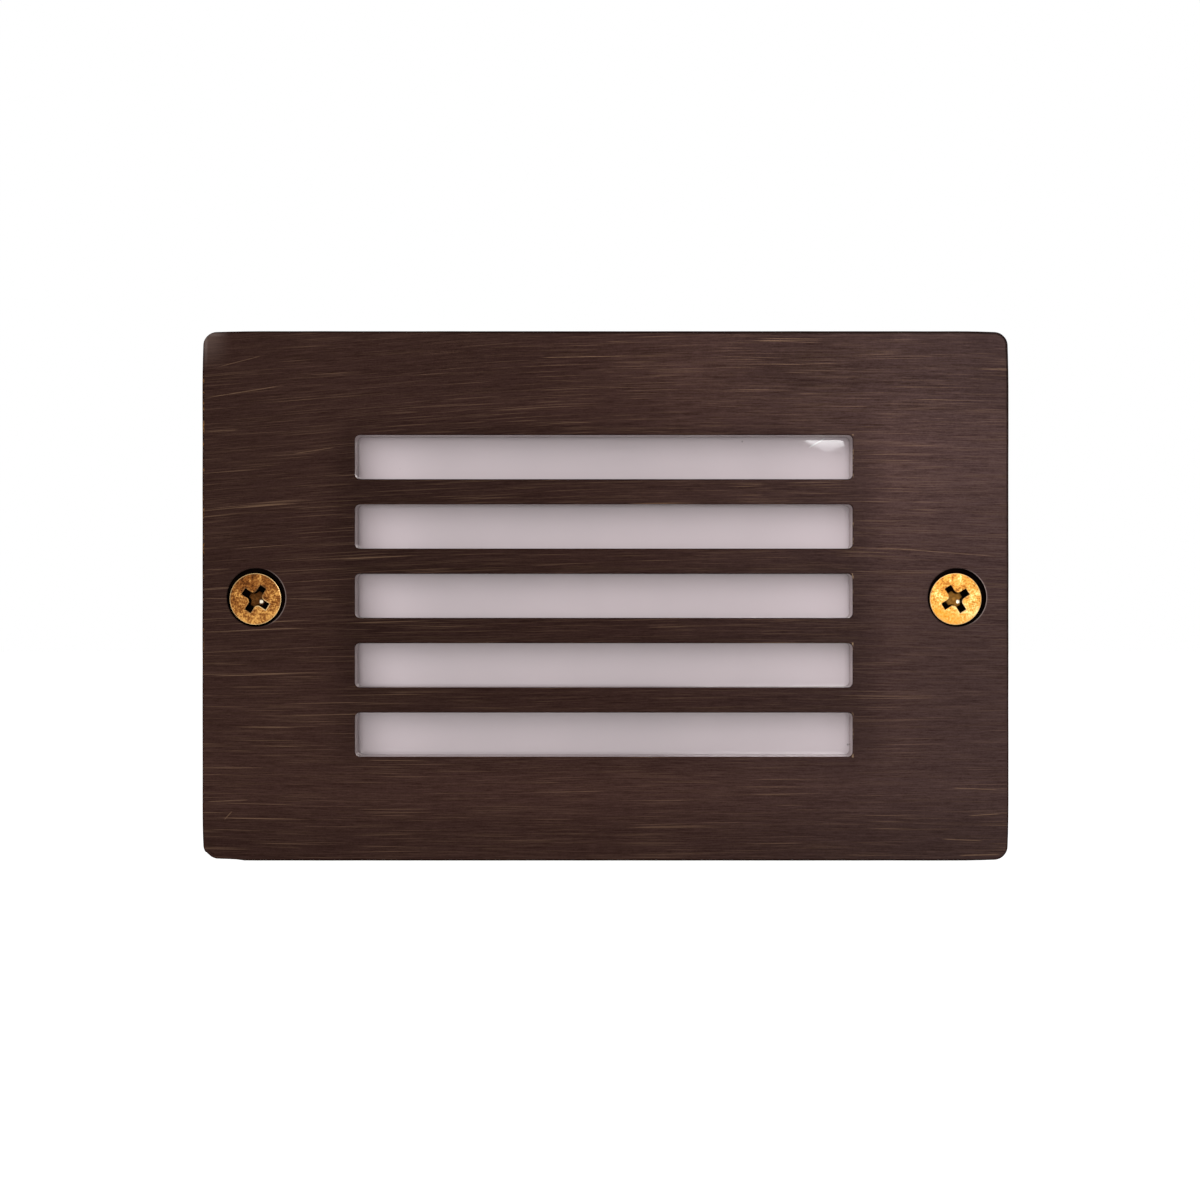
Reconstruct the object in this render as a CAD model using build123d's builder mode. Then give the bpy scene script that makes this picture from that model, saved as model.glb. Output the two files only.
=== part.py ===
"""Recessed step light: a brass louvre cover on a moulded wall housing.

Frame: X runs along the cover, +Y into the wall, +Z up. The origin is the centre of the
cover's rim on the wall plane, so the face lies at negative Y and the housing at positive Y.
All sizes are in millimetres. A depth is a Y value.
"""

import math
import os

from build123d import *

os.makedirs("parts", exist_ok=True)

# ---------------------------------------------------------------- driving dimensions
# Cover plate
plate_width = 116.0
plate_height = 76.2
plate_corner_radius = 2.0
edge_ease_run = 8.0  # length of the hand-ground ease at each end of an edge
edge_ease_drop = 0.2  # how far that ease falls back at the corner
corner_search = 0.02  # how near a point lies to a corner to count as that corner
face_edge_radius = 0.45
web_thickness = 4.0
rim_width = 3.0
pocket_corner_radius = 3.0

# Louvre slots
slot_end_margin = 22.25  # from a slot's end to the plate's side, before the shift
slot_top_margin = 14.995  # from the outer slots to the plate's top and bottom
slot_bar_height = 3.64
slot_corner_radius = 0.7
slot_count = 5
slot_shift = -0.25  # the slots sit slightly left of the plate's middle
slot_edge_radius = 0.12

# Lens and its seal
lens_thickness = 3.0
lens_side_lap = 2.25
lens_end_lap = 2.0
lens_corner_radius = 3.0
lens_seal_thickness = 0.5
lens_seal_width = 1.5
lens_play = 0.3

# Lens clips, their posts and screws
post_radius = 2.3
post_gap = 0.4  # between the lens edge and a post
post_inset = 8.355  # height of a post's middle from the lens's long edge
clip_thickness = 0.8
clip_head_radius = 2.7
clip_tongue_width = 4.6
clip_overlap = 2.4
rib_thickness = 1.2
rib_length = 9.0
rib_inset = 17.75  # from a rib's middle to the lens's short edge
rib_depth = 2.5
small_screw_radius = 1.25
small_head_radius = 2.2
small_head_height = 1.5
small_screw_length = 4.7
small_screw_tip_gap = 1.6
screw_fit = 0.05

# Cover seal
cover_seal_thickness = 1.0

# Face screws
face_screw_inset = 7.65  # from a screw's axis to the plate's side
face_screw_drop = 0.45  # the screw row sits this far under the plate's middle
cover_settle_right = 0.16  # the cover hangs on its screws slightly to the right
cover_settle_up = 0.22
counterbore_radius = 4.225
counterbore_depth = 0.9
countersink_radius = 3.65
countersink_angle = 90.0
cover_hole_radius = 3.2
face_head_radius = 3.725
face_head_land = 0.15
head_recess = 0.25
face_screw_radius = 2.08
face_screw_length = 16.0
face_screw_lead_in = 0.5
face_screw_tip_gap = 0.75
recess_span = 4.1
recess_width = 1.05
recess_depth = 2.0
recess_floor_span = 1.9
recess_floor_width = 0.7
left_recess_turn = 57.0
right_recess_turn = 32.0
screw_seal_section = 0.38  # radius of the seal ring's round section
screw_seal_gap = 0.03

# Housing
flange_thickness = 2.0
flange_clearance = 0.4
flange_corner_radius = 3.0
mouth_side_clearance = 0.6  # between a lens clip and the housing's mouth
mouth_top_clearance = 2.145  # between a lens rib and the housing's mouth
mouth_corner_radius = 5.0
housing_wall = 2.0
housing_depth = 50.0
housing_draft = 1.5
back_edge_radius = 1.2
insert_radius = 3.0
insert_length = 8.0
insert_fit = 0.02
insert_bore_clearance = 0.06
boss_bore_clearance = 0.22
insert_boss_radius = 4.2
insert_boss_depth = 13.0
boss_web_thickness = 4.0
gusset_thickness = 1.8
gusset_depth = 9.0
gusset_spacing = 30.0
gusset_count = 3
fixing_hole_radius = 2.1
fixing_side_inset = 5.0  # from a fixing hole to the flange's side
fixing_top_inset = 10.7  # from a fixing hole to the flange's top or bottom
fixing_head_recess_radius = 3.7
fixing_head_recess_depth = 1.2

# Reflector
reflector_sheet = 0.8
reflector_front = 4.5
reflector_mouth_clearance = 2.5  # between the pan and the housing's mouth
reflector_end_slope = 3.5  # how far the pan's ends lean in, from mouth to floor
reflector_side_slope = 9.5  # how far its long sides lean in
reflector_floor_depth = 25.2
reflector_corner_radius = 5.0
reflector_lip = 1.6
pillar_radius = 3.5
pillar_end_inset = 14.0  # from a pillar's middle to the end of the pan's floor
pillar_top_inset = 7.0  # from a pillar's middle to the floor's upper side
pillar_draft = 0.5
reflector_screw_radius = 1.5
reflector_head_radius = 2.8
reflector_head_height = 1.6
reflector_screw_length = 9.0
pilot_clearance = 0.04

# Lamp and lamp holder
lamp_depth = 14.0
lamp_pin_spacing = 4.0
lamp_pin_radius = 0.35
lamp_pin_length = 7.5
lamp_radius = 4.75
lamp_wall = 0.8
lamp_pinch_length = 6.0
lamp_pinch_height = 9.2
lamp_pinch_thickness = 3.2
lamp_bulb_length = 21.0
filament_radius = 0.6
filament_length = 6.0
filament_stem_radius = 0.25
filament_stem_length = 5.0
holder_front = -9.0
holder_length = 11.0
holder_height = 12.0
holder_thickness = 9.0
holder_edge_radius = 1.0
lamp_seat_gap = 0.2
contact_radius = 0.9
contact_wall = 0.45
contact_length = 7.5
contact_fit = 0.05
pin_entry_radius = 0.6
pin_entry_length = 0.8
bracket_sheet = 0.8
bracket_width = 7.0
bracket_foot = 8.0
bracket_tip_step = 1.0  # how far the bracket's tip stays behind the holder's front
bracket_bend_radius = 1.0
rivet_radius = 1.2
rivet_head_radius = 2.2
rivet_head_height = 0.8
bracket_screw_radius = 1.25
bracket_screw_bite = 2.6

# Leads and terminal block
lead_radius = 0.8
lead_inset = 3.0  # from the front lead to the end of the pan's floor
lead_spacing = 8.0
lead_hole_clearance = 0.6
lead_tail = 2.5  # how far a lead runs past its clamp's middle
bend_share = 0.45  # radius of a lead's square bend as a share of its shorter run
block_width = 17.0
block_height = 12.0
block_depth = 10.0
block_top = -8.0  # Z of the face that the leads enter
block_edge_radius = 0.6
block_pad = 3.0
clamp_radius = 2.2
clamp_bore_radius = 1.0
clamp_length = 10.0
clamp_fit = 0.05
clamp_screw_radius = 1.1
clamp_screw_spacing = 5.0
clamp_screw_sink = 0.6
clamp_screw_slot = 0.55
clamp_screw_length = 3.3
clamp_access_radius = 1.6
block_screw_radius = 1.0
block_screw_head_radius = 1.8
block_screw_head_height = 1.4
block_screw_length = 12.5

# Cable gland
gland_x = 16.0
gland_z = -8.0
gland_thread_radius = 6.0
gland_thread_length = 7.0
gland_hole_clearance = 0.1
gland_washer_thickness = 1.0
gland_washer_radius = 8.6
gland_hex_width = 16.0
gland_hex_length = 5.0
gland_neck_radius = 6.6
gland_neck_length = 7.0
gland_finger_radius = 6.0
gland_finger_tip_radius = 5.75
gland_finger_length = 4.8
gland_finger_slot = 1.0
gland_finger_count = 8
gland_bore_radius = 4.2
gland_seal_radius = 5.1
gland_seal_bore_radius = 3.25
gland_seal_length = 9.0
gland_seal_seat = 1.75  # how far behind the hexagon the seal is seated
gland_seal_fit = 0.05
locknut_width = 15.0
locknut_thickness = 3.5
thread_fit = 0.05
gland_clamp_bore_radius = 4.0
gland_clamp_thickness = 1.0
gland_nut_width = 17.0
gland_nut_hex_length = 8.0
gland_nut_length = 15.0
gland_nut_nose_radius = 7.2
gland_nut_mouth_radius = 4.3
gland_nut_end_wall = 2.2
gland_nut_gap = 0.5

# ---------------------------------------------------------------- derived places
# Depths, measured along +Y from the wall plane
flange_front = -flange_thickness
web_back = flange_front - cover_seal_thickness
face_front = web_back - web_thickness
lens_front = web_back + lens_seal_thickness
lens_back = lens_front + lens_thickness
clip_back = lens_back + clip_thickness
cavity_back = housing_depth - housing_wall
reflector_back = reflector_floor_depth + reflector_sheet

slot_length = plate_width - 2 * slot_end_margin
slot_group_height = plate_height - 2 * slot_top_margin
slot_height = (slot_group_height - (slot_count - 1) * slot_bar_height) / slot_count
slot_pitch = slot_height + slot_bar_height
pocket_width = plate_width - 2 * rim_width
pocket_height = plate_height - 2 * rim_width
lens_width = slot_length + 2 * lens_end_lap
lens_height = slot_group_height + 2 * lens_side_lap
post_reach = lens_width / 2 + post_gap + post_radius
post_rise = lens_height / 2 - post_inset
rib_reach = lens_width / 2 - rib_inset
rib_rise = lens_height / 2 + lens_play + rib_thickness / 2
flange_width = pocket_width - 2 * flange_clearance
flange_height = pocket_height - 2 * flange_clearance
mouth_width = 2 * (post_reach + clip_head_radius - slot_shift + mouth_side_clearance)
mouth_height = 2 * (rib_rise + rib_thickness / 2 + mouth_top_clearance)
body_width = mouth_width + 2 * housing_wall
body_height = mouth_height + 2 * housing_wall
body_corner_radius = mouth_corner_radius + housing_wall
draft_slope = math.tan(math.radians(housing_draft))
wall_root = housing_wall / 2  # how deep what stands on a wall is rooted in it
reflector_mouth_width = mouth_width - 2 * reflector_mouth_clearance
reflector_mouth_height = mouth_height - 2 * reflector_mouth_clearance
reflector_floor_width = reflector_mouth_width - 2 * reflector_end_slope
reflector_floor_height = reflector_mouth_height - 2 * reflector_side_slope

face_screw_spacing = plate_width - 2 * face_screw_inset
face_screw_places = [
    (-face_screw_spacing / 2, -face_screw_drop),
    (face_screw_spacing / 2, -face_screw_drop),
]
cover_hole_places = [
    (x + cover_settle_right, z + cover_settle_up) for x, z in face_screw_places
]
post_places = [
    (x, z) for x in (-post_reach, post_reach) for z in (-post_rise, post_rise)
]
fixing_places = [
    (side * (flange_width / 2 - fixing_side_inset), level * (flange_height / 2 - fixing_top_inset))
    for side in (-1, 1)
    for level in (-1, 1)
]
pillar_reach = reflector_floor_width / 2 - pillar_end_inset
pillar_rise = reflector_floor_height / 2 - pillar_top_inset
pillar_places = [(-pillar_reach, pillar_rise), (pillar_reach, pillar_rise)]
face_head_depth = face_front + head_recess
pin_depths = [lamp_depth - lamp_pin_spacing / 2, lamp_depth + lamp_pin_spacing / 2]
holder_rear = holder_front - holder_length
lead_front_x = lead_inset - reflector_floor_width / 2
lead_rear_x = lead_front_x + lead_spacing
block_middle = (lead_front_x + lead_rear_x) / 2
block_base = cavity_back - block_pad
block_front = block_base - block_depth
clamp_depth = block_base - block_depth / 2
block_centre_z = block_top - block_height / 2


def at_depth(depth):
    """Plane parallel to the wall at a depth, facing out: local x is X, local y is Z."""
    return Plane.XZ.offset(-depth)


def cone_height(large_radius, small_radius, included_angle):
    """Length of a cone frustum between two radii."""
    return (large_radius - small_radius) / math.tan(math.radians(included_angle / 2))


def drafted(size, depth):
    """Size of the housing's width or height at a depth, after its moulding draft."""
    return size - 2 * draft_slope * depth


def cavity_sketch(depth):
    """Rounded outline of the housing's cavity at a depth."""
    with BuildSketch(at_depth(depth)) as outline:
        RectangleRounded(
            drafted(mouth_width, depth), drafted(mouth_height, depth), mouth_corner_radius
        )
    return outline.sketch


def body_sketch(depth):
    """Rounded outline of the housing's outside at a depth."""
    with BuildSketch(at_depth(depth)) as outline:
        RectangleRounded(
            drafted(body_width, depth), drafted(body_height, depth), body_corner_radius
        )
    return outline.sketch


# ================================================================ cover
# Cover plate: cast web with five slots, a rim round the back pocket, posts for the
# lens clips, ribs that locate the lens, and countersunk holes for the face screws.
quarter_run = plate_width / 2 - edge_ease_run
quarter_rise = plate_height / 2 - edge_ease_run
corner_x = plate_width / 2 - edge_ease_drop
corner_z = plate_height / 2 - edge_ease_drop
with BuildPart() as face_plate:
    with BuildSketch(at_depth(0)) as plate_outline:
        with BuildLine():
            Line((0, plate_height / 2), (quarter_run, plate_height / 2))
            TangentArc((quarter_run, plate_height / 2), (corner_x, corner_z), tangent=(1, 0))
            TangentArc((plate_width / 2, quarter_rise), (corner_x, corner_z), tangent=(0, 1))
            Line((plate_width / 2, quarter_rise), (plate_width / 2, 0))
            mirror(about=Plane.YZ)
            mirror(about=Plane.XZ)
        make_face()
        corners = plate_outline.vertices().filter_by(
            lambda vertex: abs(abs(vertex.X) - corner_x) < corner_search
        )
        fillet(corners, plate_corner_radius)
    extrude(amount=-face_front)
    with BuildSketch(at_depth(0)):
        RectangleRounded(pocket_width, pocket_height, pocket_corner_radius)
    extrude(amount=-web_back, mode=Mode.SUBTRACT)
    face_edges = face_plate.faces().sort_by(Axis.Y)[0].outer_wire().edges()
    fillet(face_edges, face_edge_radius)
    with BuildSketch(at_depth(web_back)):
        with Locations((slot_shift, 0)):
            with GridLocations(0, slot_pitch, 1, slot_count):
                RectangleRounded(slot_length, slot_height, slot_corner_radius)
    extrude(amount=web_thickness, mode=Mode.SUBTRACT)
    slot_edges = [
        wire.edges() for wire in face_plate.faces().sort_by(Axis.Y)[0].inner_wires()
    ]
    fillet([edge for wire in slot_edges for edge in wire], slot_edge_radius)
    with BuildSketch(at_depth(face_front)):
        with Locations(*cover_hole_places):
            Circle(counterbore_radius)
    extrude(amount=-counterbore_depth, mode=Mode.SUBTRACT)
    with Locations(at_depth(face_front + counterbore_depth)):
        with Locations(*cover_hole_places):
            CounterSinkHole(
                cover_hole_radius,
                countersink_radius,
                depth=web_thickness - counterbore_depth,
                counter_sink_angle=countersink_angle,
            )
    with BuildSketch(at_depth(lens_back)):
        with Locations((slot_shift, 0)):
            with Locations(*post_places):
                Circle(post_radius)
    extrude(amount=lens_back - web_back)
    with BuildSketch(at_depth(web_back + rib_depth)):
        with Locations((slot_shift, 0)):
            with GridLocations(2 * rib_reach, 2 * rib_rise, 2, 2):
                Rectangle(rib_length, rib_thickness)
    extrude(amount=rib_depth)
    with BuildSketch(at_depth(lens_back)):
        with Locations((slot_shift, 0)):
            with Locations(*post_places):
                Circle(small_screw_radius + screw_fit)
    extrude(
        amount=small_screw_length - clip_thickness + small_screw_tip_gap, mode=Mode.SUBTRACT
    )
    with BuildSketch(at_depth(web_back)):
        with Locations(*fixing_places):
            Circle(fixing_head_recess_radius)
    extrude(amount=fixing_head_recess_depth, mode=Mode.SUBTRACT)
face_plate.part.label = "face_plate"
export_step(face_plate.part, "parts/face_plate.step")

# Lens: opal sheet that covers the slots from behind.
with BuildPart() as lens:
    with BuildSketch(at_depth(lens_back)):
        with Locations((slot_shift, 0)):
            RectangleRounded(lens_width, lens_height, lens_corner_radius)
    extrude(amount=lens_thickness)
lens.part.label = "lens"
export_step(lens.part, "parts/lens.step")

# Lens seal: thin frame between the lens and the web.
with BuildPart() as lens_seal:
    with BuildSketch(at_depth(lens_front)):
        with Locations((slot_shift, 0)):
            RectangleRounded(lens_width, lens_height, lens_corner_radius)
            RectangleRounded(
                lens_width - 2 * lens_seal_width,
                lens_height - 2 * lens_seal_width,
                lens_corner_radius - lens_seal_width,
                mode=Mode.SUBTRACT,
            )
    extrude(amount=lens_seal_thickness)
lens_seal.part.label = "lens_seal"
export_step(lens_seal.part, "parts/lens_seal.step")

# Lens clips: one flat tongue on each post, turned in over the lens.
clip_reach = post_gap + post_radius + clip_overlap
for side, side_name in ((-1, "left"), (1, "right")):
    for level, level_name in ((1, "upper"), (-1, "lower")):
        post_x = slot_shift + side * post_reach
        post_z = level * post_rise
        with BuildPart() as lens_clip:
            with BuildSketch(at_depth(clip_back)):
                with Locations((post_x, post_z)):
                    Circle(clip_head_radius)
                with Locations((post_x - side * clip_reach / 2, post_z)):
                    Rectangle(clip_reach, clip_tongue_width)
                with Locations((post_x, post_z)):
                    Circle(small_screw_radius + screw_fit, mode=Mode.SUBTRACT)
            extrude(amount=clip_thickness)
            tongue_end = lens_clip.edges().filter_by(Axis.Y).sort_by(Axis.X)
            fillet(tongue_end[-2:] if side < 0 else tongue_end[:2], clip_thickness)
        clip_name = f"lens_clip_{level_name}_{side_name}"
        lens_clip.part.label = clip_name
        export_step(lens_clip.part, f"parts/{clip_name}.step")

# Lens clip screws: four pan heads, one on each post.
with BuildPart() as lens_clip_screws:
    with BuildSketch(at_depth(clip_back)):
        with Locations((slot_shift, 0)):
            with Locations(*post_places):
                Circle(small_screw_radius)
    extrude(amount=small_screw_length)
    with BuildSketch(at_depth(clip_back + small_head_height)):
        with Locations((slot_shift, 0)):
            with Locations(*post_places):
                Circle(small_head_radius)
    extrude(amount=small_head_height)
    head_rims = lens_clip_screws.faces().filter_by(Axis.Y).group_by(Axis.Y)[-1].edges()
    fillet(head_rims, small_head_height / 2)
lens_clip_screws.part.label = "lens_clip_screws"
export_step(lens_clip_screws.part, "parts/lens_clip_screws.step")

# Cover seal: flat frame between the cover's web and the housing flange.
with BuildPart() as cover_seal:
    with BuildSketch(at_depth(flange_front)):
        RectangleRounded(flange_width, flange_height, flange_corner_radius)
        RectangleRounded(mouth_width, mouth_height, mouth_corner_radius, mode=Mode.SUBTRACT)
        with Locations(*face_screw_places):
            Circle(cover_hole_radius, mode=Mode.SUBTRACT)
        with Locations(*fixing_places):
            Circle(fixing_head_recess_radius, mode=Mode.SUBTRACT)
    extrude(amount=cover_seal_thickness)
cover_seal.part.label = "cover_seal"
export_step(cover_seal.part, "parts/cover_seal.step")


# ================================================================ face screws
head_cone_height = cone_height(face_head_radius, face_screw_radius, countersink_angle)
shank_top = face_head_depth + face_head_land + head_cone_height
screw_tip = face_head_depth + face_screw_length
for screw_place, recess_turn, side_name in (
    (face_screw_places[0], left_recess_turn, "left"),
    (face_screw_places[1], right_recess_turn, "right"),
):
    screw_x, screw_z = screw_place
    with BuildPart() as face_screw:
        with BuildSketch(Plane.XY.offset(screw_z)):
            with BuildLine():
                Polyline(
                    (screw_x, face_head_depth),
                    (screw_x + face_head_radius, face_head_depth),
                    (screw_x + face_head_radius, face_head_depth + face_head_land),
                    (screw_x + face_screw_radius, shank_top),
                    (screw_x + face_screw_radius, screw_tip - face_screw_lead_in),
                    (screw_x + face_screw_radius - face_screw_lead_in, screw_tip),
                    (screw_x, screw_tip),
                    close=True,
                )
            make_face()
        revolve(axis=Axis((screw_x, 0, screw_z), (0, 1, 0)))
        for quarter in (0, 90):
            with BuildSketch(at_depth(face_head_depth)):
                with Locations((screw_x, screw_z)):
                    Rectangle(recess_span, recess_width, rotation=recess_turn + quarter)
            with BuildSketch(at_depth(face_head_depth + recess_depth)):
                with Locations((screw_x, screw_z)):
                    Rectangle(
                        recess_floor_span, recess_floor_width, rotation=recess_turn + quarter
                    )
            loft(mode=Mode.SUBTRACT)
    screw_name = f"{side_name}_face_screw"
    face_screw.part.label = screw_name
    export_step(face_screw.part, f"parts/{screw_name}.step")

    # Screw seal: ring under the head that keeps water out of the hole.
    ring_radius = face_screw_radius + screw_seal_gap + screw_seal_section
    ring_depth = shank_top + screw_seal_gap + screw_seal_section
    with BuildPart() as screw_seal:
        with BuildSketch(Plane.XY.offset(screw_z)):
            with Locations((screw_x + ring_radius, ring_depth)):
                Circle(screw_seal_section)
        revolve(axis=Axis((screw_x, 0, screw_z), (0, 1, 0)))
    seal_name = f"{side_name}_screw_seal"
    screw_seal.part.label = seal_name
    export_step(screw_seal.part, f"parts/{seal_name}.step")

    # Threaded insert: brass bush pressed into the housing's boss.
    with BuildPart() as insert:
        with BuildSketch(at_depth(flange_front + insert_length)):
            with Locations((screw_x, screw_z)):
                Circle(insert_radius)
                Circle(face_screw_radius + insert_bore_clearance, mode=Mode.SUBTRACT)
        extrude(amount=insert_length)
    insert_name = f"{side_name}_insert"
    insert.part.label = insert_name
    export_step(insert.part, f"parts/{insert_name}.step")


# ================================================================ housing
# Housing: drafted moulded box with a flange, insert bosses and their webs, gussets,
# pillars for the reflector, a pad for the terminal block and a hole for the gland.
hole_floor = screw_tip + face_screw_tip_gap
gusset_height = (flange_height - body_height) / 2
gusset_places = [
    (index - (gusset_count - 1) / 2) * gusset_spacing for index in range(gusset_count)
]
with BuildPart() as housing:
    with BuildSketch(at_depth(0)):
        RectangleRounded(flange_width, flange_height, flange_corner_radius)
    extrude(amount=flange_thickness)
    loft([body_sketch(0), body_sketch(housing_depth)])
    back_face = housing.faces().sort_by(Axis.Y)[-1]
    fillet(back_face.outer_wire().edges(), back_edge_radius)
    for screw_x, screw_z in face_screw_places:
        side = math.copysign(1, screw_x)
        web_inner = side * (body_width / 2 - wall_root)
        with BuildSketch(at_depth(insert_boss_depth)):
            with Locations((screw_x, screw_z)):
                Circle(insert_boss_radius)
            with Locations(((screw_x + web_inner) / 2, screw_z)):
                Rectangle(abs(screw_x - web_inner), boss_web_thickness)
        extrude(amount=insert_boss_depth)
    for level in (-1, 1):
        wall_z = level * (body_height / 2 - wall_root)
        edge_z = level * (body_height / 2 + gusset_height)
        for gusset_x in gusset_places:
            with BuildSketch(Plane.YZ.offset(gusset_x)):
                with BuildLine():
                    Polyline(
                        (0, wall_z),
                        (0, edge_z),
                        (gusset_depth, level * drafted(body_height, gusset_depth) / 2),
                        (gusset_depth, wall_z),
                        close=True,
                    )
                make_face()
            extrude(amount=gusset_thickness / 2, both=True)
    loft([cavity_sketch(flange_front), cavity_sketch(cavity_back)], mode=Mode.SUBTRACT)
    with BuildSketch(at_depth(cavity_back + wall_root)):
        with Locations(*pillar_places):
            Circle(pillar_radius)
    extrude(amount=cavity_back + wall_root - reflector_back, taper=pillar_draft)
    with BuildSketch(at_depth(reflector_back)):
        with Locations(*pillar_places):
            Circle(reflector_screw_radius + pilot_clearance)
    extrude(amount=-reflector_screw_length, mode=Mode.SUBTRACT)
    with BuildSketch(at_depth(cavity_back + wall_root)):
        with Locations((block_middle, block_centre_z)):
            Rectangle(block_width, block_height)
    extrude(amount=block_pad + wall_root)
    with BuildSketch(at_depth(block_base)):
        with Locations((block_middle, block_centre_z)):
            Circle(block_screw_radius + pilot_clearance)
    extrude(amount=-block_pad, mode=Mode.SUBTRACT)
    with BuildSketch(at_depth(flange_front)):
        with Locations(*face_screw_places):
            Circle(insert_radius + insert_fit)
    extrude(amount=-insert_length, mode=Mode.SUBTRACT)
    with BuildSketch(at_depth(flange_front)):
        with Locations(*face_screw_places):
            Circle(face_screw_radius + boss_bore_clearance)
    extrude(amount=flange_front - hole_floor, mode=Mode.SUBTRACT)
    with BuildSketch(at_depth(0)):
        with Locations(*fixing_places):
            Circle(fixing_hole_radius)
    extrude(amount=flange_thickness, mode=Mode.SUBTRACT)
    with BuildSketch(at_depth(housing_depth)):
        with Locations((gland_x, gland_z)):
            Circle(gland_thread_radius + gland_hole_clearance)
    extrude(amount=housing_wall, mode=Mode.SUBTRACT)
housing.part.label = "housing"
export_step(housing.part, "parts/housing.step")


# ================================================================ reflector
def reflector_sketch(depth, width, height, grow):
    """Rounded outline of the reflector pan at a depth, grown by a wall."""
    with BuildSketch(at_depth(depth)) as outline:
        RectangleRounded(width + 2 * grow, height + 2 * grow, reflector_corner_radius + grow)
    return outline.sketch


# Reflector: folded sheet pan with a lip, whose floor rests on the housing's pillars.
rivet_x = holder_front - holder_length / 2
rivet_z = -(holder_thickness / 2 + bracket_foot / 2 + bracket_sheet)
with BuildPart() as reflector:
    mouth = (reflector_mouth_width, reflector_mouth_height)
    floor = (reflector_floor_width, reflector_floor_height)
    loft(
        [
            reflector_sketch(reflector_front, *mouth, reflector_sheet),
            reflector_sketch(reflector_back, *floor, reflector_sheet),
        ]
    )
    with BuildSketch(at_depth(reflector_front + reflector_sheet)):
        RectangleRounded(
            mouth[0] + 2 * reflector_lip,
            mouth[1] + 2 * reflector_lip,
            reflector_corner_radius - reflector_sheet,
        )
    extrude(amount=reflector_sheet)
    loft(
        [
            reflector_sketch(reflector_front, *mouth, 0),
            reflector_sketch(reflector_floor_depth, *floor, 0),
        ],
        mode=Mode.SUBTRACT,
    )
    with BuildSketch(at_depth(reflector_back)):
        with Locations(*pillar_places):
            Circle(reflector_screw_radius + screw_fit)
        with Locations((lead_front_x, 0), (lead_rear_x, 0)):
            Circle(lead_radius + lead_hole_clearance)
        with Locations((rivet_x, rivet_z)):
            Circle(rivet_radius + screw_fit)
    extrude(amount=reflector_sheet, mode=Mode.SUBTRACT)
reflector.part.label = "reflector"
export_step(reflector.part, "parts/reflector.step")

# Reflector screws: two pan heads into the pillars.
with BuildPart() as reflector_screws:
    with BuildSketch(at_depth(reflector_floor_depth + reflector_screw_length - reflector_sheet)):
        with Locations(*pillar_places):
            Circle(reflector_screw_radius)
    extrude(amount=reflector_screw_length - reflector_sheet)
    with BuildSketch(at_depth(reflector_floor_depth)):
        with Locations(*pillar_places):
            Circle(reflector_head_radius)
    extrude(amount=reflector_head_height)
    head_tops = reflector_screws.faces().filter_by(Axis.Y).group_by(Axis.Y)[0].edges()
    fillet(head_tops, reflector_head_height / 2)
reflector_screws.part.label = "reflector_screws"
export_step(reflector_screws.part, "parts/reflector_screws.step")


# ================================================================ lamp and holder
# Lamp holder: ceramic block with two bores for the contacts, open to the rear.
with BuildPart() as lamp_holder:
    with BuildSketch(Plane.YZ.offset(holder_rear)):
        with Locations((lamp_depth, 0)):
            RectangleRounded(holder_height, holder_thickness, holder_edge_radius)
    extrude(amount=holder_length)
    with BuildSketch(Plane.YZ.offset(holder_rear)):
        with Locations(*[(depth, 0) for depth in pin_depths]):
            Circle(contact_radius + contact_fit)
    extrude(amount=holder_length - pin_entry_length, mode=Mode.SUBTRACT)
    with BuildSketch(Plane.YZ.offset(holder_front)):
        with Locations(*[(depth, 0) for depth in pin_depths]):
            Circle(pin_entry_radius)
    extrude(amount=-pin_entry_length, mode=Mode.SUBTRACT)
    with BuildSketch(Plane.XY.offset(-holder_thickness / 2)):
        with Locations((rivet_x, lamp_depth)):
            Circle(bracket_screw_radius + pilot_clearance)
    extrude(amount=bracket_screw_bite, mode=Mode.SUBTRACT)
lamp_holder.part.label = "lamp_holder"
export_step(lamp_holder.part, "parts/lamp_holder.step")

# Lamp contacts: two spring sleeves that grip the pins.
contact_front = holder_front - pin_entry_length
with BuildPart() as lamp_contacts:
    with BuildSketch(Plane.YZ.offset(contact_front)):
        with Locations(*[(depth, 0) for depth in pin_depths]):
            Circle(contact_radius)
            Circle(contact_radius - contact_wall, mode=Mode.SUBTRACT)
    extrude(amount=-contact_length)
lamp_contacts.part.label = "lamp_contacts"
export_step(lamp_contacts.part, "parts/lamp_contacts.step")

# Holder bracket: bent strip from the holder's side to the reflector's floor.
bracket_side = -holder_thickness / 2
bracket_tip = lamp_depth - holder_height / 2 + bracket_tip_step
bracket_floor = reflector_floor_depth
with BuildPart() as holder_bracket:
    with BuildSketch(Plane.YZ.offset(rivet_x)):
        with BuildLine():
            FilletPolyline(
                (bracket_tip, bracket_side - bracket_sheet / 2),
                (bracket_floor - bracket_sheet / 2, bracket_side - bracket_sheet / 2),
                (bracket_floor - bracket_sheet / 2, bracket_side - bracket_foot),
                radius=bracket_bend_radius,
            )
            offset(amount=bracket_sheet / 2, kind=Kind.INTERSECTION)
        make_face()
    extrude(amount=bracket_width / 2, both=True)
    with BuildSketch(Plane.XY.offset(bracket_side)):
        with Locations((rivet_x, lamp_depth)):
            Circle(bracket_screw_radius + screw_fit)
    extrude(amount=-bracket_sheet, mode=Mode.SUBTRACT)
    with BuildSketch(at_depth(bracket_floor)):
        with Locations((rivet_x, rivet_z)):
            Circle(rivet_radius + screw_fit)
    extrude(amount=bracket_sheet, mode=Mode.SUBTRACT)
holder_bracket.part.label = "holder_bracket"
export_step(holder_bracket.part, "parts/holder_bracket.step")

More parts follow.
